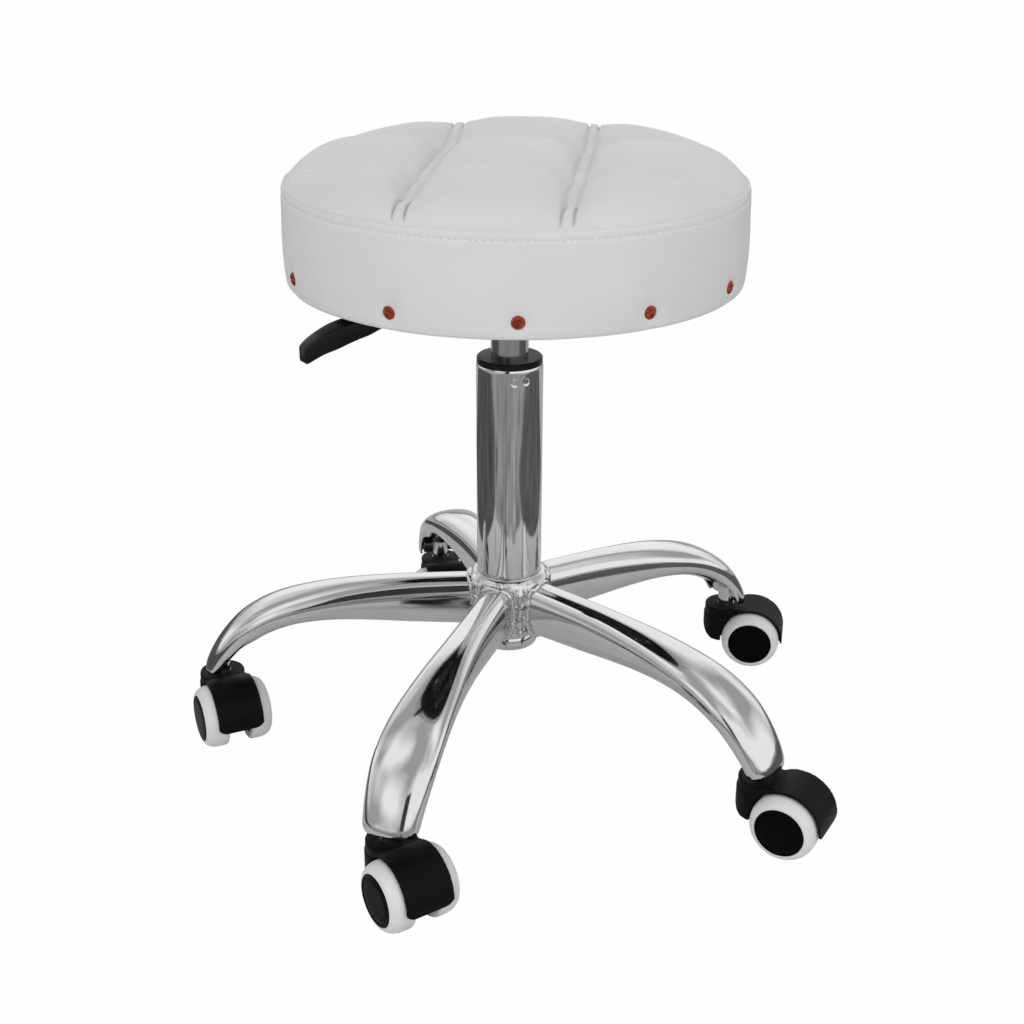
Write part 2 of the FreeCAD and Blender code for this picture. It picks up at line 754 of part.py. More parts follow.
def make_lift():
    """The gas lift's inner pieces, about the column's axis."""
    node(make_piston_rod(), "piston_rod")
    node(ring("thrust_bearing", size.journal_radius + size.press_gap, size.bearing_radius,
              floor_top, bearing_top), "thrust_bearing")
    node(ring("bump_stop", size.rod_radius + size.press_gap, size.bumper_radius,
              bearing_top, size.cylinder_bottom - size.free_gap), "bump_stop")
    node(make_gas_cylinder(), "gas_cylinder")
    gland_bottom = size.cylinder_bottom + size.gland_inset
    node(ring("cylinder_gland", size.rod_radius + size.running_gap,
              cylinder_bore - size.press_gap, gland_bottom,
              gland_bottom + size.gland_length), "cylinder_gland")
    node(ring("valve_body", size.pin_radius + size.running_gap,
              chamber_bore - size.press_gap, valve_bottom, chamber_top), "valve_body")
    node(make_release_pin(), "release_pin")


def stand_caster(item, index, x, y, z):
    """Stands a caster piece by its place behind the stem, along the heading."""
    heading = as_size(CASTER_HEADINGS[index])
    angle = arm_angle(index)
    place(item, size.stem_circle * cosine(angle) + x * cosine(heading) - y * sine(heading),
          size.stem_circle * sine(angle) + x * sine(heading) + y * cosine(heading),
          z, heading)


def make_hood(name):
    """The moulded hood about the axle: fender over both wheels, web and stem boss."""
    body = new_body(name)
    low = size.fender_end - size.wheel_radius
    fender = new_sketch(body, "XZ_Plane")
    circle(fender, 0, 0, size.fender_radius)
    pad(body, fender, size.fender_half * 2, both_ways=True)
    boss = new_sketch(body, "XY_Plane", low)
    circle(boss, -size.trail, 0, size.boss_radius)
    pad(body, boss, size.boss_top - size.fender_end)

    under = new_sketch(body, "XZ_Plane")
    front = -size.trail - size.boss_radius
    skirt = size.boss_skirt - size.wheel_radius
    deep = -size.fender_radius * 2
    outline(under, [
        (front, skirt),
        via(front + size.boss_tuck * 0.25, skirt - (skirt - low) * 0.6),
        (front + size.boss_tuck, low),
        (size.fender_radius * 2, low),
        (size.fender_radius * 2, deep),
        (front * 2, deep),
        (front * 2, skirt),
    ])
    pocket(body, under, size.fender_half * 4, both_ways=True)

    well = size.wheel_radius + size.well_gap
    width = size.fender_half * 2 - size.hood_web
    for side in (-1, 1):
        wells = new_sketch(body, "XZ_Plane", side * (size.hood_web + width / 2))
        circle(wells, 0, 0, well)
        pocket(body, wells, width, both_ways=True)

    bore = new_sketch(body, "XY_Plane", size.stem_bottom - size.wheel_radius)
    circle(bore, -size.trail, 0, size.stem_radius + size.press_gap)
    pocket(body, bore, size.boss_top)
    cross = new_sketch(body, "XZ_Plane")
    circle(cross, 0, 0, size.axle_radius + size.press_gap)
    pocket(body, cross, size.fender_half * 2, both_ways=True)
    return body


def make_pins(name):
    """The caster's two steel pins: the flanged stem and the axle."""
    body = new_body(name)
    low = size.stem_bottom - size.wheel_radius
    flange = size.boss_top - size.wheel_radius
    body.AllowCompound = True
    stem = new_sketch(body, "XY_Plane", low)
    circle(stem, -size.trail, 0, size.stem_radius)
    pad(body, stem, size.stem_top - size.stem_bottom)
    collar = new_sketch(body, "XY_Plane", flange)
    circle(collar, -size.trail, 0, size.flange_radius)
    pad(body, collar, size.flange_height)
    axle = new_sketch(body, "XZ_Plane")
    circle(axle, 0, 0, size.axle_radius)
    pad(body, axle, axle_half * 2, both_ways=True)
    return body


def wheel_ring(name, side, outline_points):
    """A wheel piece turned about the axle, on one side of the caster."""
    body = new_body(name)
    sketch = new_sketch(body, "XY_Plane")
    outline(sketch, [(radius, side * across) for radius, across in outline_points])
    revolve(body, sketch)
    return body


def make_tread(name, side):
    """The light tread moulded round a wheel's core, bevelled on its outer side."""
    inner = size.cap_radius + size.press_gap
    return wheel_ring(name, side, [
        (inner, size.wheel_inner),
        (size.wheel_radius, size.wheel_inner),
        (size.wheel_radius, size.wheel_shoulder),
        (inner, size.wheel_outer),
    ])


def make_core(name, side):
    """The dark core of a wheel, closed outside the axle's end."""
    bore = size.axle_radius + size.running_gap
    end = axle_half + size.free_gap
    return wheel_ring(name, side, [
        (bore, size.wheel_inner),
        (size.cap_radius, size.wheel_inner),
        (size.cap_radius, size.wheel_outer),
        (0, size.wheel_outer),
        (0, end),
        (bore, end),
    ])


def make_casters():
    """Five twin-wheel casters, each turned to its own heading."""
    for index in range(ARMS):
        name = f"caster_{index + 1}"
        pieces = [make_hood(f"{name}_hood"), make_pins(f"{name}_pins")]
        for letter, side in (("a", 1), ("b", -1)):
            pieces.append(make_tread(f"{name}_tread_{letter}", side))
            pieces.append(make_core(f"{name}_core_{letter}", side))
        for piece in pieces:
            node(piece, piece.Label)
            stand_caster(piece, index, size.trail, 0, size.wheel_radius)


def four_corners(sketch, radius, shift_x=0, shift_y=0):
    """Four circles at the bolts' corners, shifted together."""
    for side_x in (-1, 1):
        for side_y in (-1, 1):
            circle(sketch, side_x * size.bolt_half + shift_x,
                   side_y * size.bolt_half + shift_y, radius)


def make_seat_plate():
    """The pressed plate under the seat, with the lever box and the taper socket."""
    body = new_body("seat_plate")
    plate = new_sketch(body, "XY_Plane", plate_bottom)
    rounded_section(plate, size.plate_half, as_size(0), size.plate_half, size.plate_corner)
    pad(body, plate, size.plate_thickness)
    box = new_sketch(body, "XY_Plane", size.box_bottom)
    rectangle(box, -size.box_back, -size.box_half, size.box_front, size.box_half)
    pad(body, box, plate_bottom - size.box_bottom)
    sleeve = new_sketch(body, "XY_Plane", size.socket_tube_bottom)
    circle(sleeve, 0, 0, size.socket_tube_radius)
    pad(body, sleeve, size.box_bottom - size.socket_tube_bottom)

    inside = new_sketch(body, "XY_Plane", box_floor_top)
    rectangle(inside, size.box_wall - size.box_back, size.box_wall - size.box_half,
              size.box_front - size.box_wall, size.box_half - size.box_wall)
    pocket(body, inside, plate_bottom - box_floor_top)
    slot = new_sketch(body, "XY_Plane", box_floor_top)
    rectangle(slot, 0, -size.slot_half, size.box_front + size.free_gap, size.slot_half)
    pocket(body, slot, plate_bottom - box_floor_top)
    taper = new_sketch(body, "XZ_Plane")
    outline(taper, [
        (0, size.socket_tube_bottom),
        (cylinder_outside(size.socket_tube_bottom) + size.press_gap, size.socket_tube_bottom),
        (cylinder_outside(box_floor_top) + size.press_gap, box_floor_top),
        (0, box_floor_top),
    ])
    revolve(body, taper, cut=True)
    pivot = new_sketch(body, "XZ_Plane")
    circle(pivot, size.pivot_reach, size.pivot_level, size.pivot_radius + size.running_gap)
    pocket(body, pivot, size.box_half * 4, both_ways=True)
    holes = new_sketch(body, "XY_Plane", plate_bottom)
    four_corners(holes, size.bolt_radius + size.free_gap)
    pocket(body, holes, size.plate_thickness)
    return body


def hexagon(sketch, x, y, across):
    """A hexagon of a given size from its centre to its flats."""
    corner = across / cosine(30)
    outline(sketch, [(x + corner * cosine(60 * turn), y + corner * sine(60 * turn))
                     for turn in range(6)])


def make_plate_bolts():
    """Four hexagon bolts that hold the seat plate to the board."""
    body = new_body("plate_bolts")
    body.AllowCompound = True
    heads = new_sketch(body, "XY_Plane", plate_bottom - size.bolt_head_height)
    for side_x in (-1, 1):
        for side_y in (-1, 1):
            hexagon(heads, side_x * size.bolt_half, side_y * size.bolt_half,
                    size.bolt_head_radius)
    pad(body, heads, size.bolt_head_height)
    shanks = new_sketch(body, "XY_Plane", plate_bottom)
    four_corners(shanks, size.bolt_radius)
    pad(body, shanks, size.bolt_length)
    return body


def make_tee_nuts():
    """Four tee nuts let into the top of the board."""
    body = new_body("tee_nuts")
    body.AllowCompound = True
    barrels = new_sketch(body, "XY_Plane", board_top - size.tee_flange_height - size.tee_length)
    four_corners(barrels, size.tee_barrel)
    pad(body, barrels, size.tee_length)
    flanges = new_sketch(body, "XY_Plane", board_top - size.tee_flange_height)
    four_corners(flanges, size.tee_flange)
    pad(body, flanges, size.tee_flange_height)
    bores = new_sketch(body, "XY_Plane", board_top - size.tee_flange_height - size.tee_length)
    four_corners(bores, size.bolt_radius + size.press_gap)
    pocket(body, bores, size.tee_flange_height + size.tee_length)
    return body


def seat_shift():
    """Where the column's axis lies from the seat's middle, in the plate's directions."""
    return (-size.seat_offset * cosine(size.lever_angle),
            size.seat_offset * sine(size.lever_angle))


def make_seat_board():
    """The round plywood board, drilled and let in for the tee nuts."""
    body = new_body("seat_board")
    shift_x, shift_y = seat_shift()
    disc = new_sketch(body, "XY_Plane", board_bottom)
    circle(disc, 0, 0, size.board_radius)
    pad(body, disc, size.board_thickness)
    holes = new_sketch(body, "XY_Plane", board_bottom)
    four_corners(holes, size.tee_barrel + size.press_gap, shift_x, shift_y)
    pocket(body, holes, size.board_thickness)
    recess = new_sketch(body, "XY_Plane", board_top - size.tee_flange_height - size.press_gap)
    four_corners(recess, size.tee_flange + size.free_gap, shift_x, shift_y)
    pocket(body, recess, size.board_thickness)
    return body


def make_dust_cover():
    """The thin cover under the board, with holes for the bolts."""
    body = new_body("dust_cover")
    shift_x, shift_y = seat_shift()
    disc = new_sketch(body, "XY_Plane", size.seat_bottom)
    circle(disc, 0, 0, size.hem_radius - size.free_gap)
    pad(body, disc, size.hem_thickness)
    holes = new_sketch(body, "XY_Plane", size.seat_bottom)
    four_corners(holes, size.bolt_radius + size.free_gap, shift_x, shift_y)
    pocket(body, holes, size.hem_thickness)
    return body


def make_side_band():
    """The sewn side of the cover, turned under the board as a hem."""
    return turned("side_band", [
        (size.hem_radius, size.seat_bottom),
        (size.band_foot_radius, size.seat_bottom),
        (size.band_foot_radius, size.seat_bottom + size.band_foot),
        (size.band_radius, size.seat_bottom + size.band_waist),
        (size.seam_radius, top_bottom),
        (band_inner, top_bottom),
        (band_inner, board_bottom),
        (size.hem_radius, board_bottom),
    ])


def make_piping():
    """The cord sewn into the seam between the top and the side."""
    inner = size.seam_radius - size.piping_radius
    outer = size.seam_radius + size.piping_radius
    upper = size.seam_level + size.piping_radius
    return turned("piping", [
        (inner, top_bottom),
        (size.seam_radius, top_bottom),
        (outer, size.seam_level),
        (size.seam_radius, upper),
        (inner, upper),
    ])


def make_top_cover():
    """The padded top: a crowned pad drawn down along two channels and two seams."""
    body = new_body("top_cover")
    upper = size.seam_level + size.piping_radius
    inner = size.seam_radius - size.piping_radius - size.free_gap
    crown = new_sketch(body, "XZ_Plane")
    half = size.shoulder_radius / 2
    rise = size.crown_level - size.shoulder_level
    middle_x = (size.seam_radius + size.shoulder_radius) / 2
    middle_z = (upper + size.shoulder_level) / 2
    outline(crown, [
        (0, top_bottom),
        (inner, top_bottom),
        (inner, upper),
        (size.seam_radius, upper),
        via(middle_x + size.shoulder_bulge * sine(35), middle_z + size.shoulder_bulge * cosine(35)),
        (size.shoulder_radius, size.shoulder_level),
        dome(half, size.shoulder_level + rise * 0.75),
        (0, size.crown_level),
    ])
    revolve(body, crown)
    for side in (-1, 1):
        channel = new_sketch(body, "XZ_Plane")
        middle = size.channel_shift + side * size.channel_pitch / 2
        cut_channel(channel, middle, size.channel_gap / 2, size.channel_floor)
        pocket(body, channel, size.seam_radius * 3, both_ways=True)
        seam = new_sketch(body, "YZ_Plane")
        cut_channel(seam, side * size.seam_pitch / 2, as_size(1), size.seam_floor)
        pocket(body, seam, size.seam_radius * 3, both_ways=True)
    return body


def cut_channel(sketch, middle, half_floor, floor):
    """A channel between two pads whose flanks round over into the crown."""
    rim = size.crown_level + size.free_gap
    depth = rim - floor
    left = middle - half_floor
    right = middle + half_floor
    outline(sketch, [
        (left, floor),
        (right, floor),
        via(right + size.channel_reach * 0.3, floor + depth * 0.62),
        (right + size.channel_reach, rim),
        (right + size.channel_reach, rim + depth),
        (left - size.channel_reach, rim + depth),
        (left - size.channel_reach, rim),
        via(left - size.channel_reach * 0.3, floor + depth * 0.62),
    ])


def make_lever_rod():
    """The lever's straight rod with the cross pin that it turns on."""
    body = new_body("lever_rod")
    along = cosine(size.lever_tilt)
    down = sine(size.lever_tilt)
    inner_x = size.pivot_reach - size.lever_inner * along
    inner_z = size.pivot_level + size.lever_inner * down
    outer_x = size.pivot_reach + size.lever_outer * along
    outer_z = size.pivot_level - size.lever_outer * down
    rise_x = size.lever_radius * down
    rise_z = size.lever_radius * along
    rod = new_sketch(body, "XZ_Plane")
    outline(rod, [
        (inner_x, inner_z),
        (outer_x, outer_z),
        (outer_x + rise_x, outer_z + rise_z),
        (inner_x + rise_x, inner_z + rise_z),
    ])
    start = FreeCAD.Vector(inner_x.number, inner_z.number, 0)
    stop = FreeCAD.Vector(outer_x.number, outer_z.number, 0)
    axis = rod.addGeometry(Part.LineSegment(start, stop), True)
    pin_point(rod, axis, 1, inner_x, inner_z)
    pin_point(rod, axis, 2, outer_x, outer_z)
    revolve(body, rod, "Axis0")
    cross = new_sketch(body, "XZ_Plane")
    circle(cross, size.pivot_reach, size.pivot_level, size.pivot_radius)
    pad(body, cross, size.box_half * 2, both_ways=True)
    return body


def make_lever_grip():
    """The flat moulded grip pressed over the rod's outer end."""
    body = new_body("lever_grip")
    blade = new_sketch(body, "XZ_Plane")
    nose_x = size.grip_end + size.grip_nose
    outline(blade, [
        (size.grip_inner, size.grip_start_top - size.grip_start_height),
        (size.grip_knee, size.grip_knee_top - size.grip_knee_height),
        (size.grip_end - size.grip_nose, size.grip_end_top - size.grip_end_height),
        via(nose_x, size.grip_end_top - size.grip_end_height / 2),
        (size.grip_end, size.grip_end_top),
        (size.grip_knee, size.grip_knee_top),
        (size.grip_inner, size.grip_start_top),
    ])
    pad(body, blade, size.grip_width, both_ways=True)
    along = cosine(size.lever_tilt)
    down = sine(size.lever_tilt)
    reach = size.lever_outer + size.press_gap
    inner_x = size.pivot_reach + (size.grip_inner - size.pivot_reach) * 0.9
    inner_z = size.pivot_level - (inner_x - size.pivot_reach) * tangent(size.lever_tilt)
    outer_x = size.pivot_reach + reach * along
    outer_z = size.pivot_level - reach * down
    radius = size.lever_radius + size.press_gap
    bore = new_sketch(body, "XZ_Plane")
    outline(bore, [
        (inner_x, inner_z),
        (outer_x, outer_z),
        (outer_x + radius * down, outer_z + radius * along),
        (inner_x + radius * down, inner_z + radius * along),
    ])
    start = FreeCAD.Vector(inner_x.number, inner_z.number, 0)
    stop = FreeCAD.Vector(outer_x.number, outer_z.number, 0)
    axis = bore.addGeometry(Part.LineSegment(start, stop), True)
    pin_point(bore, axis, 1, inner_x, inner_z)
    pin_point(bore, axis, 2, outer_x, outer_z)
    revolve(body, bore, "Axis0", cut=True)
    return body


def make_seat():
    """The seat plate with its bolts and lever, and the upholstered seat on it."""
    for make in (make_seat_plate, make_plate_bolts, make_tee_nuts, make_lever_rod,
                 make_lever_grip):
        piece = make()
        node(piece, piece.Label)
        place(piece, turn=size.lever_angle)
    for make in (make_seat_board, make_dust_cover):
        piece = make()
        node(piece, piece.Label)
        place(piece, size.seat_offset, turn=size.lever_angle)
    foam = new_body("seat_foam")
    block = new_sketch(foam, "XY_Plane", board_top)
    circle(block, 0, 0, size.board_radius)
    pad(foam, block, top_bottom - size.free_gap - board_top)
    for piece in (foam, make_side_band(), make_piping(), make_top_cover()):
        node(piece, piece.Label)
        place(piece, size.seat_offset, turn=size.channel_angle)


make_base()
make_lift()
make_casters()
make_seat()
doc.recompute()

os.makedirs("parts", exist_ok=True)
for item in doc.Objects:
    if "Invalid" in item.State or "Error" in item.State:
        raise RuntimeError(f"{item.Name} {item.Label} did not compute: {item.State}")
for item in nodes:
    shape = item.Shape
    if shape.isNull() or not shape.isValid() or not shape.Solids:
        raise RuntimeError(f"{item.Label} has no valid solid")
    shape.exportStep(f"parts/{item.Label}.step")
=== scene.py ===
import math

import bmesh
import bpy
from mathutils import Matrix, Vector, noise
from mathutils.bvhtree import BVHTree


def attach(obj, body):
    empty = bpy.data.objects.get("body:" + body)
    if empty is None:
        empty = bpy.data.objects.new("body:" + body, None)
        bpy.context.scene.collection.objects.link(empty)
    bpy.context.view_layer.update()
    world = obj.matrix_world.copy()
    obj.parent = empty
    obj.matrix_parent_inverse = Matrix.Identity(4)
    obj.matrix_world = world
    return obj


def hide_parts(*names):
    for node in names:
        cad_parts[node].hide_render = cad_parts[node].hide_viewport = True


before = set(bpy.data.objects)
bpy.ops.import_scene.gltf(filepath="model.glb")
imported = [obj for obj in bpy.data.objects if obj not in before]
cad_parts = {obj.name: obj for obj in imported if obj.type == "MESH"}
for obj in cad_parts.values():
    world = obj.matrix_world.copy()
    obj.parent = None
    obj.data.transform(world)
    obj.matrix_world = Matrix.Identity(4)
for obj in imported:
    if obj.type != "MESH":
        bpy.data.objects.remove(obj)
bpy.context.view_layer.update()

# Sizes are written in millimetres and scaled once, when a mesh is made.
MM = 0.001
ARMS = 5
ARM_TURN = -19.8
TUBE_RADIUS = 25.0
TUBE_TOP = 317.0
HUB_TOP = 148.0
HUB_RADIUS = 31.0
STEM_CIRCLE = 233.5
HEADINGS = (-56.0, -30.5, -11.5, -76.0, -64.5)
TRAIL = 24.2
WHEEL_RADIUS = 25.0
SEAT_X = 4.0
SEAM_RADIUS = 162.5
SEAM_LEVEL = 451.5
CROWN = 27.4
PATTERN_TURN = math.radians(6.2)
CHANNELS = (-57.8, 47.2)
CHANNEL_HALF = 4.0
CROSS_SEAMS = (-57.0, 57.0)
STITCH_PITCH = 4.4
STITCH_START, STITCH_COUNT = -160.0, 74
RIM_STITCHES, RIM_STITCH_RADIUS, RIM_STITCH_LEVEL = 232, 163.95, 445.35
TACKS = (-158.5, -119.6, -89.6, -58.5, -28.2, 1.0, 31.0, 61.0, 91.0, 121.0, 151.0, 178.0)
TACK_LEVEL = 394.2
TACK_CIRCLE = 162.4
LEVER_TURN = math.radians(215.0)


# Mesh helpers

def add_object(name, points, faces, weld=0.0):
    """A smooth mesh object from points in millimetres, with doubles welded."""
    mesh = bpy.data.meshes.new(name)
    mesh.from_pydata([(x * MM, y * MM, z * MM) for x, y, z in points], [], faces)
    work = bmesh.new()
    work.from_mesh(mesh)
    if weld:
        bmesh.ops.remove_doubles(work, verts=work.verts, dist=weld * MM)
    bmesh.ops.recalc_face_normals(work, faces=work.faces)
    for face in work.faces:
        face.smooth = True
    work.to_mesh(mesh)
    work.free()
    item = bpy.data.objects.new(name, mesh)
    bpy.context.scene.collection.objects.link(item)
    return item


def ring_path(radius, level, count, centre_x=0.0):
    """Points round a level circle."""
    return [(centre_x + radius * math.cos(2 * math.pi * step / count),
             radius * math.sin(2 * math.pi * step / count), level) for step in range(count)]


def grid_faces(rows, columns, close_rows=False, close_columns=False, start=0):
    """Quads between neighbouring points of a grid stored row by row."""
    faces = []
    for row in range(rows if close_rows else rows - 1):
        upper = (row + 1) % rows
        for column in range(columns if close_columns else columns - 1):
            right = (column + 1) % columns
            faces.append((start + row * columns + column, start + row * columns + right,
                          start + upper * columns + right, start + upper * columns + column))
    return faces


def lathe(name, profile, angles=96, closed=False, centre=(0.0, 0.0), shift=None):
    """A profile of (radius, height) turned about the vertical through centre."""
    if isinstance(angles, int):
        angles = [2 * math.pi * step / angles for step in range(angles)]
    points = []
    for radius, height in profile:
        for angle in angles:
            out = radius if shift is None else radius + shift(angle, radius, height)
            points.append((centre[0] + out * math.cos(angle),
                           centre[1] + out * math.sin(angle), height))
    faces = grid_faces(len(profile), len(angles), close_rows=closed, close_columns=True)
    return add_object(name, points, faces, weld=0.001)


def rounded(points, radius, steps=3, closed=False):
    """A polyline of (radius, height) with each inner corner rounded."""
    result = []
    count = len(points)
    for index, here in enumerate(points):
        if not closed and index in (0, count - 1):
            result.append(here)
            continue
        here = Vector(here)
        before = Vector(points[index - 1])
        after = Vector(points[(index + 1) % count])
        reach = min(radius, (before - here).length * 0.45, (after - here).length * 0.45)
        first = here + (before - here).normalized() * reach
        last = here + (after - here).normalized() * reach
        for step in range(steps + 1):
            share = step / steps
            blend = first.lerp(here, share).lerp(here.lerp(last, share), share)
            result.append((blend.x, blend.y))
    return result


def spline(table, place):
    """A smooth value between the rows of a table, by row number."""
    index = min(max(int(place), 0), len(table) - 2)
    share = place - index
    rows = [table[min(max(index + step, 0), len(table) - 1)] for step in (-1, 0, 1, 2)]
    values = []
    for before, first, last, after in zip(*rows):
        values.append(0.5 * (2 * first + (last - before) * share
                             + (2 * before - 5 * first + 4 * last - after) * share ** 2
                             + (3 * first - 3 * last + after - before) * share ** 3))
    return values


def sweep(name, path, radius, sides=10, closed=False, ripple=None):
    """A round bead along a path of points in millimetres."""
    points = []
    path = [Vector(point) for point in path]
    count = len(path)
    for index, here in enumerate(path):
        before = path[index - 1] if closed or index else here
        after = path[(index + 1) % count] if closed or index < count - 1 else here
        along = (after - before).normalized()
        side = along.cross(Vector((0, 0, 1)))
        if side.length < 0.1:
            side = along.cross(Vector((1, 0, 0)))
        side.normalize()
        up = side.cross(along)
        size = radius if ripple is None else radius * ripple(here)
        if not closed and index in (0, count - 1):
            size *= 0.15
        for step in range(sides):
            angle = 2 * math.pi * step / sides
            points.append(here + side * size * math.cos(angle) + up * size * math.sin(angle))
    faces = grid_faces(count, sides, close_rows=closed, close_columns=True)
    if not closed:
        faces.append(tuple(range(sides)))
        faces.append(tuple(range((count - 1) * sides, count * sides))[::-1])
    return add_object(name, [tuple(point) for point in points], faces)


def apply_modifiers(item):
    """Keeps the evaluated mesh of an object and drops its modifiers."""
    graph = bpy.context.evaluated_depsgraph_get()
    graph.update()
    result = bpy.data.meshes.new_from_object(item.evaluated_get(graph))
    item.modifiers.clear()
    item.data = result
    return item


def join(name, items):
    """One object from several."""
    points = []
    faces = []
    for item in items:
        start = len(points)
        points += [tuple(vertex.co / MM) for vertex in item.data.vertices]
        faces += [tuple(start + index for index in face.vertices) for face in item.data.polygons]
        bpy.data.objects.remove(item)
    return add_object(name, points, faces)


# Materials

def surface(name, colour, rough, metal=0.0, rough_spread=0.0, spread=0.0, scale=60.0,
            bump=0.0, bump_scale=400.0, stretch=(1.0, 1.0, 1.0), sheen=0.0,
            cells=False, second=None, shine=0.5):
    """A procedural surface: colour and gloss vary with noise, and a fine grain stands out.

    The grain is noise, or with cells the pebbles of leather. Bump is its height in millimetres.
    """
    material = bpy.data.materials.new(name)
    material.use_nodes = True
    nodes = material.node_tree.nodes
    links = material.node_tree.links
    shader = nodes["Principled BSDF"]
    shader.inputs["Metallic"].default_value = metal
    shader.inputs["Sheen Weight"].default_value = sheen
    shader.inputs["Specular IOR Level"].default_value = shine
    place = nodes.new("ShaderNodeTexCoord")
    mapping = nodes.new("ShaderNodeMapping")
    mapping.inputs["Scale"].default_value = stretch
    links.new(place.outputs["Object"], mapping.inputs["Vector"])
    cloud = nodes.new("ShaderNodeTexNoise")
    cloud.inputs["Scale"].default_value = scale
    cloud.inputs["Detail"].default_value = 4.0
    links.new(mapping.outputs["Vector"], cloud.inputs["Vector"])
    tint = nodes.new("ShaderNodeValToRGB")
    other = second or tuple(channel * (1.0 - spread) for channel in colour)
    tint.color_ramp.elements[0].position = 0.35
    tint.color_ramp.elements[0].color = (*other, 1.0)
    tint.color_ramp.elements[1].position = 0.65
    tint.color_ramp.elements[1].color = (*colour, 1.0)
    links.new(cloud.outputs["Fac"], tint.inputs["Fac"])
    links.new(tint.outputs["Color"], shader.inputs["Base Color"])
    gloss = nodes.new("ShaderNodeMapRange")
    gloss.inputs["From Min"].default_value = 0.3
    gloss.inputs["From Max"].default_value = 0.7
    gloss.inputs["To Min"].default_value = max(rough - rough_spread, 0.02)
    gloss.inputs["To Max"].default_value = rough + rough_spread
    links.new(cloud.outputs["Fac"], gloss.inputs["Value"])
    links.new(gloss.outputs["Result"], shader.inputs["Roughness"])
    if bump:
        if cells:
            grain = nodes.new("ShaderNodeTexVoronoi")
            height = grain.outputs["Distance"]
        else:
            grain = nodes.new("ShaderNodeTexNoise")
            grain.inputs["Detail"].default_value = 3.0
            height = grain.outputs["Fac"]
        grain.inputs["Scale"].default_value = bump_scale
        links.new(mapping.outputs["Vector"], grain.inputs["Vector"])
        relief = nodes.new("ShaderNodeBump")
        relief.inputs["Strength"].default_value = 1.0
        relief.inputs["Distance"].default_value = bump * MM
        links.new(height, relief.inputs["Height"])
        links.new(relief.outputs["Normal"], shader.inputs["Normal"])
    return material


chrome = surface("chrome", (0.68, 0.68, 0.685), 0.075, metal=1.0, rough_spread=0.03,
                 spread=0.05, scale=28.0, bump=0.03, bump_scale=40.0)
tube_chrome = surface("tube_chrome", (0.68, 0.68, 0.685), 0.085, metal=1.0, rough_spread=0.02,
                      spread=0.03, scale=20.0, bump=0.004, bump_scale=300.0)
weld_chrome = surface("weld_chrome", (0.70, 0.70, 0.70), 0.16, metal=1.0, rough_spread=0.05,
                      spread=0.12, scale=160.0, bump=0.25, bump_scale=420.0)
steel = surface("bright_steel", (0.62, 0.62, 0.63), 0.22, metal=1.0, rough_spread=0.06,
                spread=0.1, scale=90.0, bump=0.015, bump_scale=700.0)
brushed = surface("polished_steel", (0.56, 0.56, 0.565), 0.14, metal=1.0, rough_spread=0.03,
                  spread=0.06, scale=30.0, bump=0.004, bump_scale=400.0)
dark_steel = surface("dark_steel", (0.12, 0.12, 0.13), 0.38, metal=1.0, rough_spread=0.08,
                     spread=0.25, scale=80.0, bump=0.03, bump_scale=500.0)
black_steel = surface("black_steel", (0.02, 0.02, 0.021), 0.42, rough_spread=0.08,
                      spread=0.3, scale=70.0, bump=0.04, bump_scale=600.0)
black_plastic = surface("black_plastic", (0.009, 0.009, 0.01), 0.36, rough_spread=0.06,
                        spread=0.25, scale=60.0, bump=0.03, bump_scale=1400.0, shine=0.2)
hood_plastic = surface("hood_plastic", (0.004, 0.004, 0.0045), 0.46, rough_spread=0.05,
                       spread=0.3, scale=45.0, bump=0.03, bump_scale=1500.0, shine=0.09)
disc_plastic = surface("disc_plastic", (0.002, 0.002, 0.0022), 0.36, rough_spread=0.05,
                       spread=0.3, scale=70.0, bump=0.02, bump_scale=1200.0, shine=0.04)
grip_plastic = surface("grip_plastic", (0.004, 0.004, 0.0045), 0.34, rough_spread=0.07,
                       spread=0.3, scale=80.0, bump=0.03, bump_scale=1300.0, shine=0.3)
rubber = surface("black_rubber", (0.014, 0.014, 0.014), 0.7, rough_spread=0.1, spread=0.3,
                 scale=90.0, bump=0.05, bump_scale=900.0)
tread_rubber = surface("tread_rubber", (0.80, 0.80, 0.80), 0.40, rough_spread=0.06,
                       spread=0.05, scale=40.0, bump=0.03, bump_scale=900.0)
leather = surface("leather", (0.74, 0.74, 0.742), 0.42, rough_spread=0.05, spread=0.025,
                  scale=14.0, bump=0.05, bump_scale=620.0, sheen=0.05, cells=True)
thread = surface("thread", (0.93, 0.93, 0.93), 0.6, rough_spread=0.08, spread=0.08,
                 scale=900.0, bump=0.08, bump_scale=3000.0)
copper = surface("copper", (0.46, 0.07, 0.022), 0.26, metal=0.7, rough_spread=0.08,
                 scale=260.0, bump=0.06, bump_scale=900.0, second=(0.22, 0.035, 0.018))
foam = surface("foam", (0.78, 0.68, 0.42), 0.9, spread=0.12, scale=120.0, bump=0.3,
               bump_scale=700.0)
cloth = surface("dust_cloth", (0.012, 0.012, 0.013), 0.9, rough_spread=0.05, spread=0.3,
                scale=300.0, bump=0.05, bump_scale=900.0)
plywood = surface("plywood", (0.62, 0.46, 0.29), 0.6, rough_spread=0.08, scale=25.0,
                  bump=0.08, bump_scale=180.0, stretch=(1.0, 9.0, 9.0),
                  second=(0.47, 0.32, 0.18))


def paint(item, material):
    """Gives an object one material."""
    item.data.materials.clear()
    item.data.materials.append(material)
    return item


def finish_piece(item, material, body, slot, *nodes):
    """Material, body and the solids a piece stands for. The slot argument is not used."""
    paint(item, material)
    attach(item, body)
    if nodes:
        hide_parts(*nodes)
    return item


# Base: five swaged arms

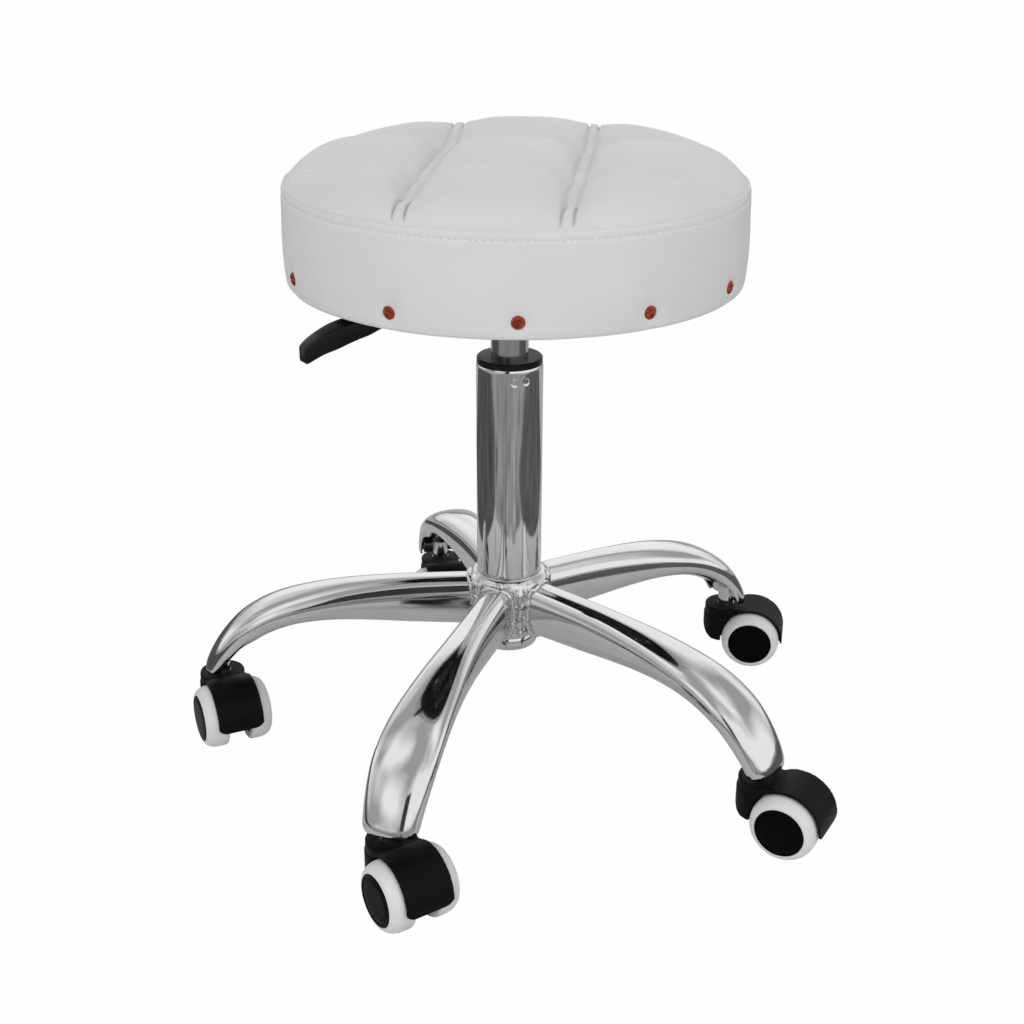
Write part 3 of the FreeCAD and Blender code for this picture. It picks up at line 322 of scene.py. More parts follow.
# Along the arm: radius and height of the centre line, tilt in degrees, and the height and
# width of the section.
ARM_RUN = (
    (25.0, 121.3, 0.0, 42.0, 27.0),
    (52.0, 120.8, 0.8, 40.6, 27.3),
    (80.0, 120.2, 1.8, 38.6, 28.6),
    (104.0, 119.6, 3.0, 35.4, 31.0),
    (125.0, 118.6, 5.2, 32.2, 34.4),
    (142.0, 117.0, 8.5, 29.4, 37.6),
    (158.0, 114.4, 13.5, 27.0, 40.6),
    (173.4, 110.8, 19.5, 25.2, 43.4),
    (187.8, 105.5, 26.5, 24.2, 45.6),
    (201.0, 98.3, 34.5, 23.4, 46.8),
    (212.2, 89.7, 42.5, 23.0, 46.6),
    (223.2, 77.0, 51.5, 22.6, 44.4),
    (231.8, 63.5, 59.5, 22.0, 41.4),
    (239.2, 45.6, 67.5, 21.6, 39.2),
)
ARM_TIP = 57.4
ARM_SIDES = 60
ARM_WALL = 1.6
# The mouth opens between these radii. Fine rows lie round its start.
MOUTH_START, MOUTH_FULL, MOUTH_END = 198.0, 218.0, 240.0
FINE_START, FINE_END = 192.0, 206.0
FINE_STEP, COARSE_STEP = 0.07, 0.16
# The tip's edge curls in below this level, over this height.
CURL_LEVEL, CURL_HEIGHT, CURL_DEPTH = 63.0, 6.4, 2.8


def cut_angle(radius, power):
    """Half of the open angle underneath a section: the mouth opens softly towards the tip."""
    if radius <= MOUTH_START:
        return 0.0
    opening = min((radius - MOUTH_START) / (MOUTH_FULL - MOUTH_START), 1.0)
    share = 1.0 - 0.54 * opening * opening * (3.0 - 2.0 * opening)
    share -= 0.16 * max(radius - MOUTH_FULL, 0.0) / (MOUTH_END - MOUTH_FULL)
    return math.acos(share ** (power / 2))


def arm_places():
    """Row numbers along the arm's run, close together where the mouth opens."""
    places = []
    place = 0.0
    while place < len(ARM_RUN) - 1:
        places.append(place)
        radius = spline(ARM_RUN, place)[0]
        place += FINE_STEP if FINE_START < radius < FINE_END else COARSE_STEP
    return places + [len(ARM_RUN) - 1.0]


def make_arm(index):
    """A polished tube, tall at the hub, wide and flat in the bend, open under the tip."""
    turn = math.radians(ARM_TURN + 360.0 / ARMS * index - 90.0)
    out = Vector((math.cos(turn), math.sin(turn)))
    side = Vector((-out.y, out.x))
    points = []
    places = arm_places()
    for place in places:
        radius, height, tilt, tall, wide = spline(ARM_RUN, place)
        tilt = math.radians(tilt)
        power = 2.7 - 0.35 * min(place / 6.0, 1.0)
        open_half = cut_angle(radius, power)
        for step in range(ARM_SIDES + 1):
            angle = open_half + (2 * math.pi - 2 * open_half) * step / ARM_SIDES
            up = -math.copysign(abs(math.cos(angle)) ** (2 / power), math.cos(angle)) * tall / 2
            across = math.copysign(abs(math.sin(angle)) ** (2 / power), math.sin(angle)) * wide / 2
            level = height + up * math.cos(tilt)
            curl = min(max((CURL_LEVEL - level) / CURL_HEIGHT, 0.0), 1.0)
            curl = CURL_DEPTH * (1.0 - math.sqrt(1.0 - curl * curl))
            reach = radius + up * math.sin(tilt) - curl * max(up / tall * 2, 0.0)
            across *= 1.0 - curl * 0.03
            points.append((out.x * reach + side.x * across, out.y * reach + side.y * across,
                           level))
    arm = add_object(f"arm_{index + 1}_shell", points, grid_faces(len(places), ARM_SIDES + 1),
                     weld=0.02)
    work = bmesh.new()
    work.from_mesh(arm.data)
    bmesh.ops.bisect_plane(work, geom=work.verts[:] + work.edges[:] + work.faces[:],
                           plane_co=(0, 0, ARM_TIP * MM), plane_no=(0, 0, -1),
                           clear_outer=True)
    bmesh.ops.remove_doubles(work, verts=work.verts, dist=0.1 * MM)
    work.to_mesh(arm.data)
    work.free()
    wall = arm.modifiers.new("wall", "SOLIDIFY")
    wall.thickness = ARM_WALL * MM
    wall.offset = -1.0
    wall.use_even_offset = True
    apply_modifiers(arm)
    return finish_piece(arm, chrome, "base", "chrome_base", f"arm_{index + 1}")


for arm_index in range(ARMS):
    make_arm(arm_index)


# Base: hub, welds and column

def lumps(point, scale, seed=0.0):
    """Smooth noise from -1 to 1 at a point in millimetres."""
    return noise.noise(Vector(point) * scale + Vector((seed, seed * 0.7, -seed)))


def hub_shift(angle, radius, height):
    """The weld's rough skin over the hub."""
    point = (radius * math.cos(angle), radius * math.sin(angle), height)
    if radius < 26.0:
        return 0.0
    return 0.7 * lumps(point, 0.12) + 0.4 * lumps(point, 0.3, 3.0) + 0.16 * lumps(point, 0.8, 6.0)


def hub_shell():
    """The hub ring, drawn finely enough for the weld's skin."""
    outline = rounded([
        (24.55, HUB_TOP), (27.3, HUB_TOP), (30.6, 143.5), (HUB_RADIUS, 138.0),
        (HUB_RADIUS, 108.0), (26.6, 99.5), (24.55, 99.0)], 1.5, steps=2, closed=True)
    fine = []
    for number, start in enumerate(outline):
        finish = outline[(number + 1) % len(outline)]
        pieces = max(1, int(math.dist(start, finish) / 1.2))
        for part in range(pieces):
            fine.append((start[0] + (finish[0] - start[0]) * part / pieces,
                         start[1] + (finish[1] - start[1]) * part / pieces))
    return lathe("hub_shell", fine, angles=200, closed=True, shift=hub_shift)


finish_piece(hub_shell(), weld_chrome, "base", "chrome_base", "base_hub")


def weld_ripple(here):
    """Share of a weld's thickness at a point of its run."""
    return 1.0 + 0.32 * lumps(here, 0.13, 5.0) + 0.12 * lumps(here, 0.5, 9.0)


def weld_beads():
    """Broad welds round the root of each arm and down the gaps between the arms."""
    beads = []
    root = 31.2
    _radius, height, _tilt, tall, wide = ARM_RUN[0]
    for index in range(ARMS):
        turn = math.radians(ARM_TURN + 360.0 / ARMS * index - 90.0)
        path = []
        for step in range(150):
            angle = 2 * math.pi * step / 150
            across = math.copysign(abs(math.sin(angle)) ** 0.75, math.sin(angle)) * wide / 2
            up = math.copysign(abs(math.cos(angle)) ** 0.75, math.cos(angle)) * tall / 2
            reach = math.sqrt(root ** 2 - across ** 2)
            reach += 0.9 * lumps((reach + index * 40, across, up), 0.12, 8.0)
            path.append((reach * math.cos(turn) - across * math.sin(turn),
                         reach * math.sin(turn) + across * math.cos(turn), height + up * 1.01))
        beads.append(sweep(f"bead_{index}", path, 2.3, sides=14, closed=True,
                           ripple=weld_ripple))
        gap = turn + math.pi / ARMS
        for shift, thick in ((-0.13, 2.6), (0.0, 3.4), (0.12, 2.4)):
            path = []
            for step in range(60):
                level = 145.0 - step * 0.74
                lean = gap + shift + 0.07 * lumps((level, index * 10, shift * 50), 0.09)
                reach = 29.4 + 0.8 * lumps((level, 5, index + shift), 0.16)
                if level > 141.0:
                    reach -= (level - 141.0) * 0.8
                path.append((reach * math.cos(lean), reach * math.sin(lean), level))
            beads.append(sweep(f"gap_{index}_{shift}", path, thick, sides=14,
                               ripple=weld_ripple))
    beads.append(sweep("ring_bead", ring_path(TUBE_RADIUS + 0.5, HUB_TOP, 160), 0.8, closed=True,
                       ripple=weld_ripple))
    return join("weld_beads", beads)


finish_piece(weld_beads(), weld_chrome, "base", "chrome_base")


# Two shallow dents near the top of the column: angle, height, radius, depth.
DENTS = ((-81.0, 308.0, 3.0, 0.5), (-60.5, 308.0, 2.6, 0.45))


def dent_shift(angle, radius, height):
    """Draws the column's wall in at the dents."""
    if radius < 24.9 or height > 316.0:
        return 0.0
    depth = 0.0
    for turn, level, wide, deep in DENTS:
        gap = (angle - math.radians(turn) + math.pi) % (2 * math.pi) - math.pi
        away = math.hypot(gap * TUBE_RADIUS, height - level) / wide
        edge = max(0.0, 1 - (away - 0.75) / 0.35)
        depth += deep * (1.0 if away < 0.75 else edge ** 2 * (3 - 2 * edge))
    return -depth


def column_tube():
    """The column: a polished tube with a floor near its lower end."""
    angles = [2 * math.pi * step / 128 for step in range(128)]
    for turn, _level, _wide, _deep in DENTS:
        angles += [math.radians(turn + 360.0 + step * 0.9) for step in range(-11, 12)]
    angles = sorted({round(angle % (2 * math.pi), 4) for angle in angles})
    profile = [(23.5, 316.4), (23.75, TUBE_TOP), (24.95, TUBE_TOP), (TUBE_RADIUS, 316.95),
               (TUBE_RADIUS, 314.0)]
    profile += [(TUBE_RADIUS, 312.6 - step * 0.5) for step in range(20)]
    profile += [(TUBE_RADIUS, level) for level in (300.0, 250.0, 200.0, 149.5)]
    profile += [(24.5, HUB_TOP)]
    profile += [(24.5, 104.0), (24.2, 102.5), (22.4, 100.2), (22.0, 99.2), (22.0, 96.0),
                (21.7, 95.7), (21.7, 95.1), (22.0, 94.8), (22.0, 86.0), (21.6, 85.5),
                (20.8, 85.5), (20.5, 85.9), (20.5, 87.0), (4.15, 87.0), (4.15, 90.0),
                (20.5, 90.0), (20.5, 99.6), (23.3, 103.2), (23.5, 104.0), (23.5, 250.0)]
    return lathe("column_tube", profile, angles=angles, closed=True, shift=dent_shift)


finish_piece(column_tube(), tube_chrome, "base", "chrome_tube", "outer_tube")


# Casters

HOOD_VOXEL = 0.8
# The ring round the stem boss that is drawn in, and how far: inner and outer radius, level.
LEDGE_INNER, LEDGE_OUTER, LEDGE_LEVEL, LEDGE_DEPTH = 16.4, 19.4, 17.4, 0.8


def local_frame(index):
    """The place and turn of a caster's axle: x points away from the stem, y along the axle."""
    turn = math.radians(ARM_TURN + 360.0 / ARMS * index - 90.0)
    heading = math.radians(HEADINGS[index])
    x = STEM_CIRCLE * math.cos(turn) + TRAIL * math.cos(heading)
    y = STEM_CIRCLE * math.sin(turn) + TRAIL * math.sin(heading)
    return (Matrix.Translation((x * MM, y * MM, WHEEL_RADIUS * MM))
            @ Matrix.Rotation(heading, 4, "Z"))


def make_cover(index):
    """The moulded hood: soft edges, rounded lip corners and a ledge round the stem boss."""
    name = f"caster_{index + 1}"
    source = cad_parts[f"{name}_hood"]
    mesh = source.data.copy()
    cover = bpy.data.objects.new(f"{name}_cover", mesh)
    bpy.context.scene.collection.objects.link(cover)
    grid = cover.modifiers.new("grid", "REMESH")
    grid.mode = "VOXEL"
    grid.voxel_size = HOOD_VOXEL * MM
    grid.use_smooth_shade = True
    soft = cover.modifiers.new("soft", "SMOOTH")
    soft.factor = 0.5
    soft.iterations = 6
    apply_modifiers(cover)
    inverse = local_frame(index).inverted()
    turned = local_frame(index).to_3x3()
    places = [(vertex, inverse @ vertex.co / MM) for vertex in cover.data.vertices]
    shell = [point for _vertex, point in places
             if point.x > 15.0 and math.hypot(point.x, point.z) > 25.6]
    lip = min(math.atan2(point.z, point.x) for point in shell)
    half = max(abs(point.y) for point in shell)
    for vertex, point in places:
        away = Vector((point.x + TRAIL, point.y))
        if math.hypot(point.x, point.z) > 25.2 and point.x > -14.0:
            wider = 0.05 * min(max((point.x + 14.0) / 8.0, 0.0), 1.0)
            corner = min(max(abs(point.y) / half - 0.62, 0.0) / 0.38, 1.0) ** 2
            angle = math.atan2(point.z, point.x)
            lift = 0.0
            if -1.6 < angle < 1.0:
                lift = 0.17 * corner * max(1.0 - (angle - lip) / 0.34, 0.0)
            reach = math.hypot(point.x, point.z)
            shift = Vector((reach * math.cos(angle + lift) - point.x, point.y * wider,
                            reach * math.sin(angle + lift) - point.z))
            vertex.co += turned @ shift * MM
        if LEDGE_INNER < away.length < LEDGE_OUTER and point.z > LEDGE_LEVEL:
            inward = (turned @ Vector((-away.x, -away.y, 0))).normalized()
            vertex.co += inward * LEDGE_DEPTH * MM
    return finish_piece(cover, hood_plastic, name, "caster_plastic", f"{name}_hood")


def wheel_pieces(index, letter, side):
    """A wheel's light tread and its dark disc, with soft edges."""
    name = f"caster_{index + 1}"
    body = f"{name}_wheel_{letter}"
    stand = local_frame(index) @ Matrix.Rotation(math.radians(-90.0 * side), 4, "X")
    tread = lathe(f"{name}_tyre_{letter}", rounded([
        (18.45, 9.0), (WHEEL_RADIUS, 9.0), (WHEEL_RADIUS, 18.5), (24.0, 22.6), (21.6, 25.9),
        (18.45, 27.4)], 2.4, steps=4, closed=True), angles=80, closed=True)
    core = lathe(f"{name}_disc_{letter}", [
        (3.1, 9.0), (18.0, 9.0), (18.4, 9.4), (18.4, 26.8), (18.1, 27.3), (17.5, 27.4),
        (16.9, 27.3), (16.7, 27.0), (16.3, 26.95), (16.0, 27.2), (12.0, 27.4), (6.0, 27.4),
        (0.0, 27.4)], angles=72)
    bore = lathe("bore", [(3.1, 9.0), (3.1, 26.3), (0.0, 26.3)], angles=24)
    core = join(f"{name}_disc_{letter}", [core, bore])
    for item in (tread, core):
        item.data.transform(stand)
    finish_piece(tread, tread_rubber, body, "wheel_tread", f"{name}_tread_{letter}")
    finish_piece(core, disc_plastic, body, "wheel_core", f"{name}_core_{letter}")


for caster_index in range(ARMS):
    make_cover(caster_index)
    wheel_pieces(caster_index, "a", -1)
    wheel_pieces(caster_index, "b", 1)


# Seat: pillowed top

def pattern(x, y):
    """Place in the sewn pattern, which is turned a little on the seat."""
    return (x * math.cos(PATTERN_TURN) - y * math.sin(PATTERN_TURN),
            x * math.sin(PATTERN_TURN) + y * math.cos(PATTERN_TURN))


def from_pattern(across, along):
    """Place on the seat from a place in the sewn pattern."""
    return (across * math.cos(PATTERN_TURN) + along * math.sin(PATTERN_TURN),
            -across * math.sin(PATTERN_TURN) + along * math.cos(PATTERN_TURN))


def seam_gaps(x, y):
    """Distance to the nearest channel and to the nearest cross seam."""
    across, along = pattern(x, y)
    return (min(abs(across - channel) for channel in CHANNELS),
            min(abs(along - seam) for seam in CROSS_SEAMS))


def pillow_level(x, y, swell=1.0):
    """Height of the sewn top: a crown, deep channels and shallower cross seams.

    Both fade out towards the rim, later at the front. A swell of 1 is the full height.
    """
    radius = min(math.hypot(x, y), SEAM_RADIUS)
    crown = SEAM_LEVEL + CROWN * (1.0 - (radius / SEAM_RADIUS) ** 8)
    front = 0.5 - 0.5 * pattern(x, y)[1] / max(radius, 1.0)
    fade = min(max((radius / SEAM_RADIUS - 0.60 - 0.16 * front) / (0.32 - 0.06 * front), 0.0), 1.0)
    hold = 1.0 - fade * fade * (3.0 - 2.0 * fade)
    channel, cross = seam_gaps(x, y)
    deep = max(1.0 - max(channel - CHANNEL_HALF, 0.0) / 36.0, 0.0) ** 3.0
    low = max(1.0 - cross / 46.0, 0.0) ** 2.1
    drop = (17.5 + 2.5 * math.exp(-(cross / 9.0) ** 2)) * deep + 12.5 * low * (1.0 - deep)
    return crown - hold * (drop * (0.92 + 0.08 * swell) + (1.0 - swell) * 2.5)


def disc_grid(count, radius):
    """Points of a square grid drawn out to a disc, without a pole in the middle."""
    points = []
    for row in range(count):
        for column in range(count):
            x = 2.0 * column / (count - 1) - 1.0
            y = 2.0 * row / (count - 1) - 1.0
            points.append((radius * x * math.sqrt(1 - y * y / 2),
                           radius * y * math.sqrt(1 - x * x / 2)))
    return points


def swell(item, pinned, pressure, most):
    """Blows a sewn sheet up a little with its seams held, and keeps the result."""
    group = item.vertex_groups.new(name="sewn")
    group.add(pinned, 1.0, "REPLACE")
    modifier = item.modifiers.new("cloth", "CLOTH")
    settings = modifier.settings
    settings.vertex_group_mass = "sewn"
    settings.use_pressure = True
    settings.uniform_pressure_force = pressure
    settings.effector_weights.gravity = 0.0
    settings.quality = 6
    settings.mass = 0.25
    settings.tension_stiffness = 18.0
    settings.compression_stiffness = 18.0
    settings.shear_stiffness = 8.0
    settings.bending_stiffness = 0.6
    modifier.point_cache.frame_start = 1
    modifier.point_cache.frame_end = 20
    scene = bpy.context.scene
    for step in range(1, 21):
        scene.frame_set(step)
    graph = bpy.context.evaluated_depsgraph_get()
    moved = [vertex.co.copy() for vertex in item.evaluated_get(graph).data.vertices]
    item.modifiers.remove(modifier)
    scene.frame_set(1)
    for vertex, target in zip(item.data.vertices, moved):
        step = target - vertex.co
        if step.length > most * MM:
            step = step.normalized() * most * MM
        vertex.co += step
    item.vertex_groups.clear()


def seat_top():
    """The sewn top of the seat."""
    count = 90
    spots = disc_grid(count, SEAM_RADIUS)
    points = [(x + SEAT_X, y, pillow_level(x, y, 0.4)) for x, y in spots]
    top = add_object("seat_top", points, grid_faces(count, count))
    pinned = []
    for number, (x, y) in enumerate(spots):
        channel, cross = seam_gaps(x, y)
        if channel < 5.5 or cross < 2.4 or math.hypot(x, y) > SEAM_RADIUS - 3.0:
            pinned.append(number)
    swell(top, pinned, 3.5, 7.0)
    finer = top.modifiers.new("finer", "SUBSURF")
    finer.levels = 2
    finer.render_levels = 2
    apply_modifiers(top)
    for vertex in top.data.vertices:
        x, y = vertex.co.x / MM - SEAT_X, vertex.co.y / MM
        radius = math.hypot(x, y)
        hold = min(max((SEAM_RADIUS - 0.5 - radius) / 5.0, 0.0), 1.0)
        channel, cross = seam_gaps(x, y)
        beyond = channel - CHANNEL_HALF
        groove = 1.6 * math.exp(-(beyond / 0.95) ** 2) * (2.0 if radius > 128.0 else 1.0)
        groove += 2.0 * math.exp(-(cross / 1.3) ** 2) * min(max(beyond / 3.0, 0.0), 1.0)
        if channel < CHANNEL_HALF:
            groove -= 0.35 * (1.0 - (channel / CHANNEL_HALF) ** 2)
        pull = 0.35 * lumps((x, y, 0.0), 0.11, 4.0) * math.exp(-min(channel, cross) / 14.0)
        vertex.co.z -= (groove * hold + pull * hold) * MM
    for face in top.data.polygons:
        face.use_smooth = True
    return top


top_piece = seat_top()
finish_piece(top_piece, leather, "lift", "cover_leather", "top_cover")


# Seat: side band, seam and stitches

def band_shift(angle, radius, height):
    """Draws the side band in round each tack and lets it swell in between."""
    if radius < 158.0:
        return 0.0
    change = 0.35 * lumps((math.cos(angle) * 160, math.sin(angle) * 160, height), 0.022, 6.0)
    for turn in TACKS:
        gap = (angle - math.radians(turn) + math.pi) % (2 * math.pi) - math.pi
        along = gap * 164.0
        away = math.hypot(along, height - TACK_LEVEL)
        change -= 2.2 * math.exp(-(away / 8.0) ** 2)
        crease = math.exp(-(along / 7.0) ** 2) * math.exp(-((height - 408.0) / 16.0) ** 2)
        change -= 0.4 * crease
    fade = min(max((440.0 - height) / 8.0, 0.0), 1.0)
    return change * fade


def seat_side():
    """The side band with its lower edge turned under the seat."""
    outline = ((140.0, 382.4), (155.0, 382.3), (160.6, 382.4), (163.0, 383.8), (164.1, 387.5),
               (164.7, 394.0), (165.2, 402.0), (165.4, 412.0), (165.2, 424.0), (164.8, 436.0),
               (164.7, 442.6), (164.3, 444.7), (163.7, 445.3), (164.2, 446.0), (164.3, 448.2),
               (163.8, 450.3), (162.3, 451.8))
    profile = []
    for place in range((len(outline) - 1) * 4 + 1):
        profile.append(tuple(spline(outline, place / 4)))
    inner = [(161.2, 450.4), (162.0, 444.0), (162.2, 430.0), (162.4, 410.0), (161.6, 396.0),
             (160.6, 388.0), (158.5, 385.2), (140.0, 385.0)]
    return lathe("seat_side", profile + inner, angles=360, closed=True,
                 centre=(SEAT_X, 0.0), shift=band_shift)


finish_piece(seat_side(), leather, "lift", "cover_leather", "side_band")

seam_bead = sweep("seam_bead", ring_path(SEAM_RADIUS, SEAM_LEVEL - 0.1, 240, SEAT_X), 1.0,
                  sides=12, closed=True)
finish_piece(seam_bead, leather, "lift", "cover_leather", "piping")


def stitch(points, faces, middle, along, normal, length=3.0, radius=0.42):
    """Adds one short raised stitch to a list of points and faces."""
    side = along.cross(normal).normalized()
    start = len(points)
    rings = ((-0.5, 0.25), (-0.36, 0.85), (0.0, 1.0), (0.36, 0.85), (0.5, 0.25))
    for share, size in rings:
        here = middle + along * (length * share)
        for step in range(6):
            angle = math.pi / 3 * step
            points.append(tuple(here + side * radius * size * math.cos(angle)
                                + normal * radius * size * math.sin(angle)))
    faces += [tuple(index for index in face)
              for face in grid_faces(len(rings), 6, close_columns=True, start=start)]
    faces.append(tuple(start + step for step in range(6))[::-1])
    faces.append(tuple(start + 24 + step for step in range(6)))


def stitching():
    """Rows of short stitches along the channels, the cross seams and under the rim."""
    tree = BVHTree.FromObject(top_piece, bpy.context.evaluated_depsgraph_get())
    places = [STITCH_START + STITCH_PITCH * step for step in range(STITCH_COUNT)]
    rows = []
    for channel in CHANNELS:
        for shift in (-CHANNEL_HALF, CHANNEL_HALF):
            rows.append([from_pattern(channel + shift, place) for place in places])
    channel_rows = len(rows)
    for seam in CROSS_SEAMS:
        rows.append([from_pattern(place, seam + 1.8) for place in places])
    points, faces = [], []
    for number, row in enumerate(rows):
        for here, after in zip(row, row[1:]):
            if math.hypot(*here) > SEAM_RADIUS - 3.5:
                continue
            if number >= channel_rows and seam_gaps(*here)[0] < 6.0:
                continue
            hit, ahead = (tree.ray_cast(Vector(((x + SEAT_X) * MM, y * MM, 0.6)),
                                        Vector((0, 0, -1))) for x, y in (here, after))
            if hit[0] is None or ahead[0] is None:
                continue
            along = (ahead[0] - hit[0]).normalized()
            stitch(points, faces, hit[0] / MM + hit[1] * 0.12, along, hit[1])
    for step in range(RIM_STITCHES):
        angle = 2 * math.pi * step / RIM_STITCHES
        out = Vector((math.cos(angle), math.sin(angle), 0.0))
        stitch(points, faces, Vector((SEAT_X, 0.0, RIM_STITCH_LEVEL)) + out * RIM_STITCH_RADIUS,
               Vector((-out.y, out.x, 0.0)), out)
    return add_object("stitching", points, faces)


finish_piece(stitching(), thread, "lift", "cover_leather")


def make_tack(number, turn):
    """A domed tack with ribs that run out from its middle."""
    ribs = 14
    rings = ((0.0, 2.35), (0.8, 2.3), (1.1, 2.0), (2.0, 1.95), (3.2, 1.55), (4.2, 0.9),
             (4.8, 0.2), (4.9, -0.8), (1.2, -1.0))
    points, sides = [], ribs * 6
    for radius, height in rings:
        for step in range(sides):
            angle = 2 * math.pi * step / sides
            wave = 0.5 + 0.5 * math.cos(angle * ribs)
            lift = 0.6 * wave if 1.5 < radius < 4.5 else 0.0
            reach = radius + (0.14 * wave if radius > 4.5 else 0.0)
            points.append((reach * math.cos(angle), reach * math.sin(angle), height + lift))
    tack = add_object(f"tack_{number + 1}", points,
                      grid_faces(len(rings), sides, close_columns=True), weld=0.001)
    angle = math.radians(turn)
    place = Vector((SEAT_X + TACK_CIRCLE * math.cos(angle), TACK_CIRCLE * math.sin(angle),
                    TACK_LEVEL))
    out = Vector((math.cos(angle), math.sin(angle), -0.12)).normalized()
    turned = out.to_track_quat("Z", "Y").to_matrix().to_4x4()
    tack.data.transform(Matrix.Translation(place * MM) @ turned)
    return finish_piece(tack, copper, "lift", "cover_leather")


for tack_number, tack_turn in enumerate(TACKS):
    make_tack(tack_number, tack_turn)


# Lever grip

def lever_grip():
    """The moulded grip: straight, then bent down to a blunt end."""
    # Reach from the column, top and bottom level, width.
    stations = (
        (90.0, 374.0, 366.4, 12.4), (91.0, 374.2, 366.0, 13.4), (102.0, 373.6, 364.4, 14.2),
        (112.0, 372.8, 362.0, 14.6), (121.0, 371.9, 359.2, 14.9), (130.0, 371.1, 357.4, 15.0),
        (137.0, 370.4, 355.8, 15.0), (146.0, 368.6, 353.4, 14.6), (156.0, 365.2, 351.2, 13.2),
        (163.0, 362.0, 348.6, 11.8), (167.4, 359.2, 346.8, 10.8), (169.0, 357.8, 346.6, 10.2),
        (169.6, 357.0, 347.4, 9.6))
    points = []
    sides = 28
    rows = (len(stations) - 1) * 4 + 1
    out = Vector((math.cos(LEVER_TURN), math.sin(LEVER_TURN)))
    for place in range(rows):
        reach, top, bottom, wide = spline(stations, place / 4)
        middle, half = (top + bottom) / 2, (top - bottom) / 2
        for step in range(sides):
            angle = 2 * math.pi * step / sides
            across = math.copysign(abs(math.cos(angle)) ** 0.2, math.cos(angle)) * wide / 2
            up = math.copysign(abs(math.sin(angle)) ** 0.2, math.sin(angle)) * half
            points.append((out.x * reach - out.y * across, out.y * reach + out.x * across,
                           middle + up))
    faces = grid_faces(rows, sides, close_columns=True)
    faces.append(tuple(range(sides)))
    faces.append(tuple(range((rows - 1) * sides, rows * sides))[::-1])
    return add_object("grip_shell", points, faces)


finish_piece(lever_grip(), grip_plastic, "lever", "grip_plastic", "lever_grip")


# Finishes of the solids that show as they are

FINISHES = {
    "guide_bush": black_plastic, "rod_clip": dark_steel, "piston_rod": steel,
    "thrust_bearing": steel, "bump_stop": rubber, "gas_cylinder": brushed,
    "cylinder_gland": dark_steel, "valve_body": dark_steel, "release_pin": steel,
    "seat_plate": black_steel, "plate_bolts": steel, "tee_nuts": steel,
    "seat_board": plywood, "dust_cover": cloth, "seat_foam": foam, "lever_rod": black_steel,
    "caster_sockets": chrome,
}
for number in range(ARMS):
    FINISHES[f"caster_{number + 1}_pins"] = steel
for node_name, finish in FINISHES.items():
    paint(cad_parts[node_name], finish)


# Floor, light and camera

def stage_plane(name, size, place, turn=(0.0, 0.0, 0.0)):
    """A flat rectangle of the studio, in metres."""
    half_x, half_y = size[0] / 2, size[1] / 2
    mesh = bpy.data.meshes.new(name)
    mesh.from_pydata([(-half_x, -half_y, 0), (half_x, -half_y, 0), (half_x, half_y, 0),
                      (-half_x, half_y, 0)], [], [(0, 1, 2, 3)])
    item = bpy.data.objects.new(name, mesh)
    item.location = place
    item.rotation_euler = turn
    bpy.context.scene.collection.objects.link(item)
    return item


def studio_material(name, white):
    """Matt white that reads as plain white where the background is seen."""
    material = bpy.data.materials.new(name)
    material.use_nodes = True
    nodes = material.node_tree.nodes
    links = material.node_tree.links
    nodes.clear()
    matt = nodes.new("ShaderNodeBsdfDiffuse")
    matt.inputs["Color"].default_value = (0.85, 0.85, 0.85, 1.0)
    glow = nodes.new("ShaderNodeEmission")
    glow.inputs["Strength"].default_value = 1.0
    rays = nodes.new("ShaderNodeLightPath")
    share = nodes.new("ShaderNodeMath")
    share.operation = "MULTIPLY"
    share.inputs[1].default_value = white
    mix = nodes.new("ShaderNodeMixShader")
    out = nodes.new("ShaderNodeOutputMaterial")
    links.new(rays.outputs["Is Camera Ray"], share.inputs[0])
    links.new(share.outputs["Value"], mix.inputs["Fac"])
    links.new(matt.outputs["BSDF"], mix.inputs[1])
    links.new(glow.outputs["Emission"], mix.inputs[2])
    links.new(mix.outputs["Shader"], out.inputs["Surface"])
    return material


floor = stage_plane("floor", (60.0, 60.0), (0.0, 0.0, 0.0))
floor.data.materials.append(studio_material("floor_paper", 0.985))

world = bpy.data.worlds.new("studio")
bpy.context.scene.world = world
world.use_nodes = True
world_nodes = world.node_tree.nodes
world_links = world.node_tree.links
world_nodes.clear()
world_rays = world_nodes.new("ShaderNodeLightPath")
plain = world_nodes.new("ShaderNodeBackground")
plain.inputs["Color"].default_value = (0.62, 0.62, 0.63, 1.0)
plain.inputs["Strength"].default_value = 0.5
white = world_nodes.new("ShaderNodeBackground")
white.inputs["Color"].default_value = (1.0, 1.0, 1.0, 1.0)
# What gloss sees of the white studio: white with soft grey clouds.
world_place = world_nodes.new("ShaderNodeTexCoord")
world_cloud = world_nodes.new("ShaderNodeTexNoise")
world_cloud.inputs["Scale"].default_value = 1.5
world_cloud.inputs["Detail"].default_value = 1.5
world_tint = world_nodes.new("ShaderNodeValToRGB")
world_tint.color_ramp.elements[0].position = 0.36
world_tint.color_ramp.elements[0].color = (0.46, 0.46, 0.46, 1.0)
world_tint.color_ramp.elements[1].position = 0.58
world_tint.color_ramp.elements[1].color = (1.15, 1.15, 1.15, 1.0)
cloudy = world_nodes.new("ShaderNodeBackground")
gloss_mix = world_nodes.new("ShaderNodeMixShader")
world_links.new(world_place.outputs["Generated"], world_cloud.inputs["Vector"])
world_links.new(world_cloud.outputs["Fac"], world_tint.inputs["Fac"])
world_links.new(world_tint.outputs["Color"], cloudy.inputs["Color"])
world_links.new(world_rays.outputs["Is Glossy Ray"], gloss_mix.inputs["Fac"])
world_links.new(white.outputs["Background"], gloss_mix.inputs[1])
world_links.new(cloudy.outputs["Background"], gloss_mix.inputs[2])
seen = world_nodes.new("ShaderNodeMath")
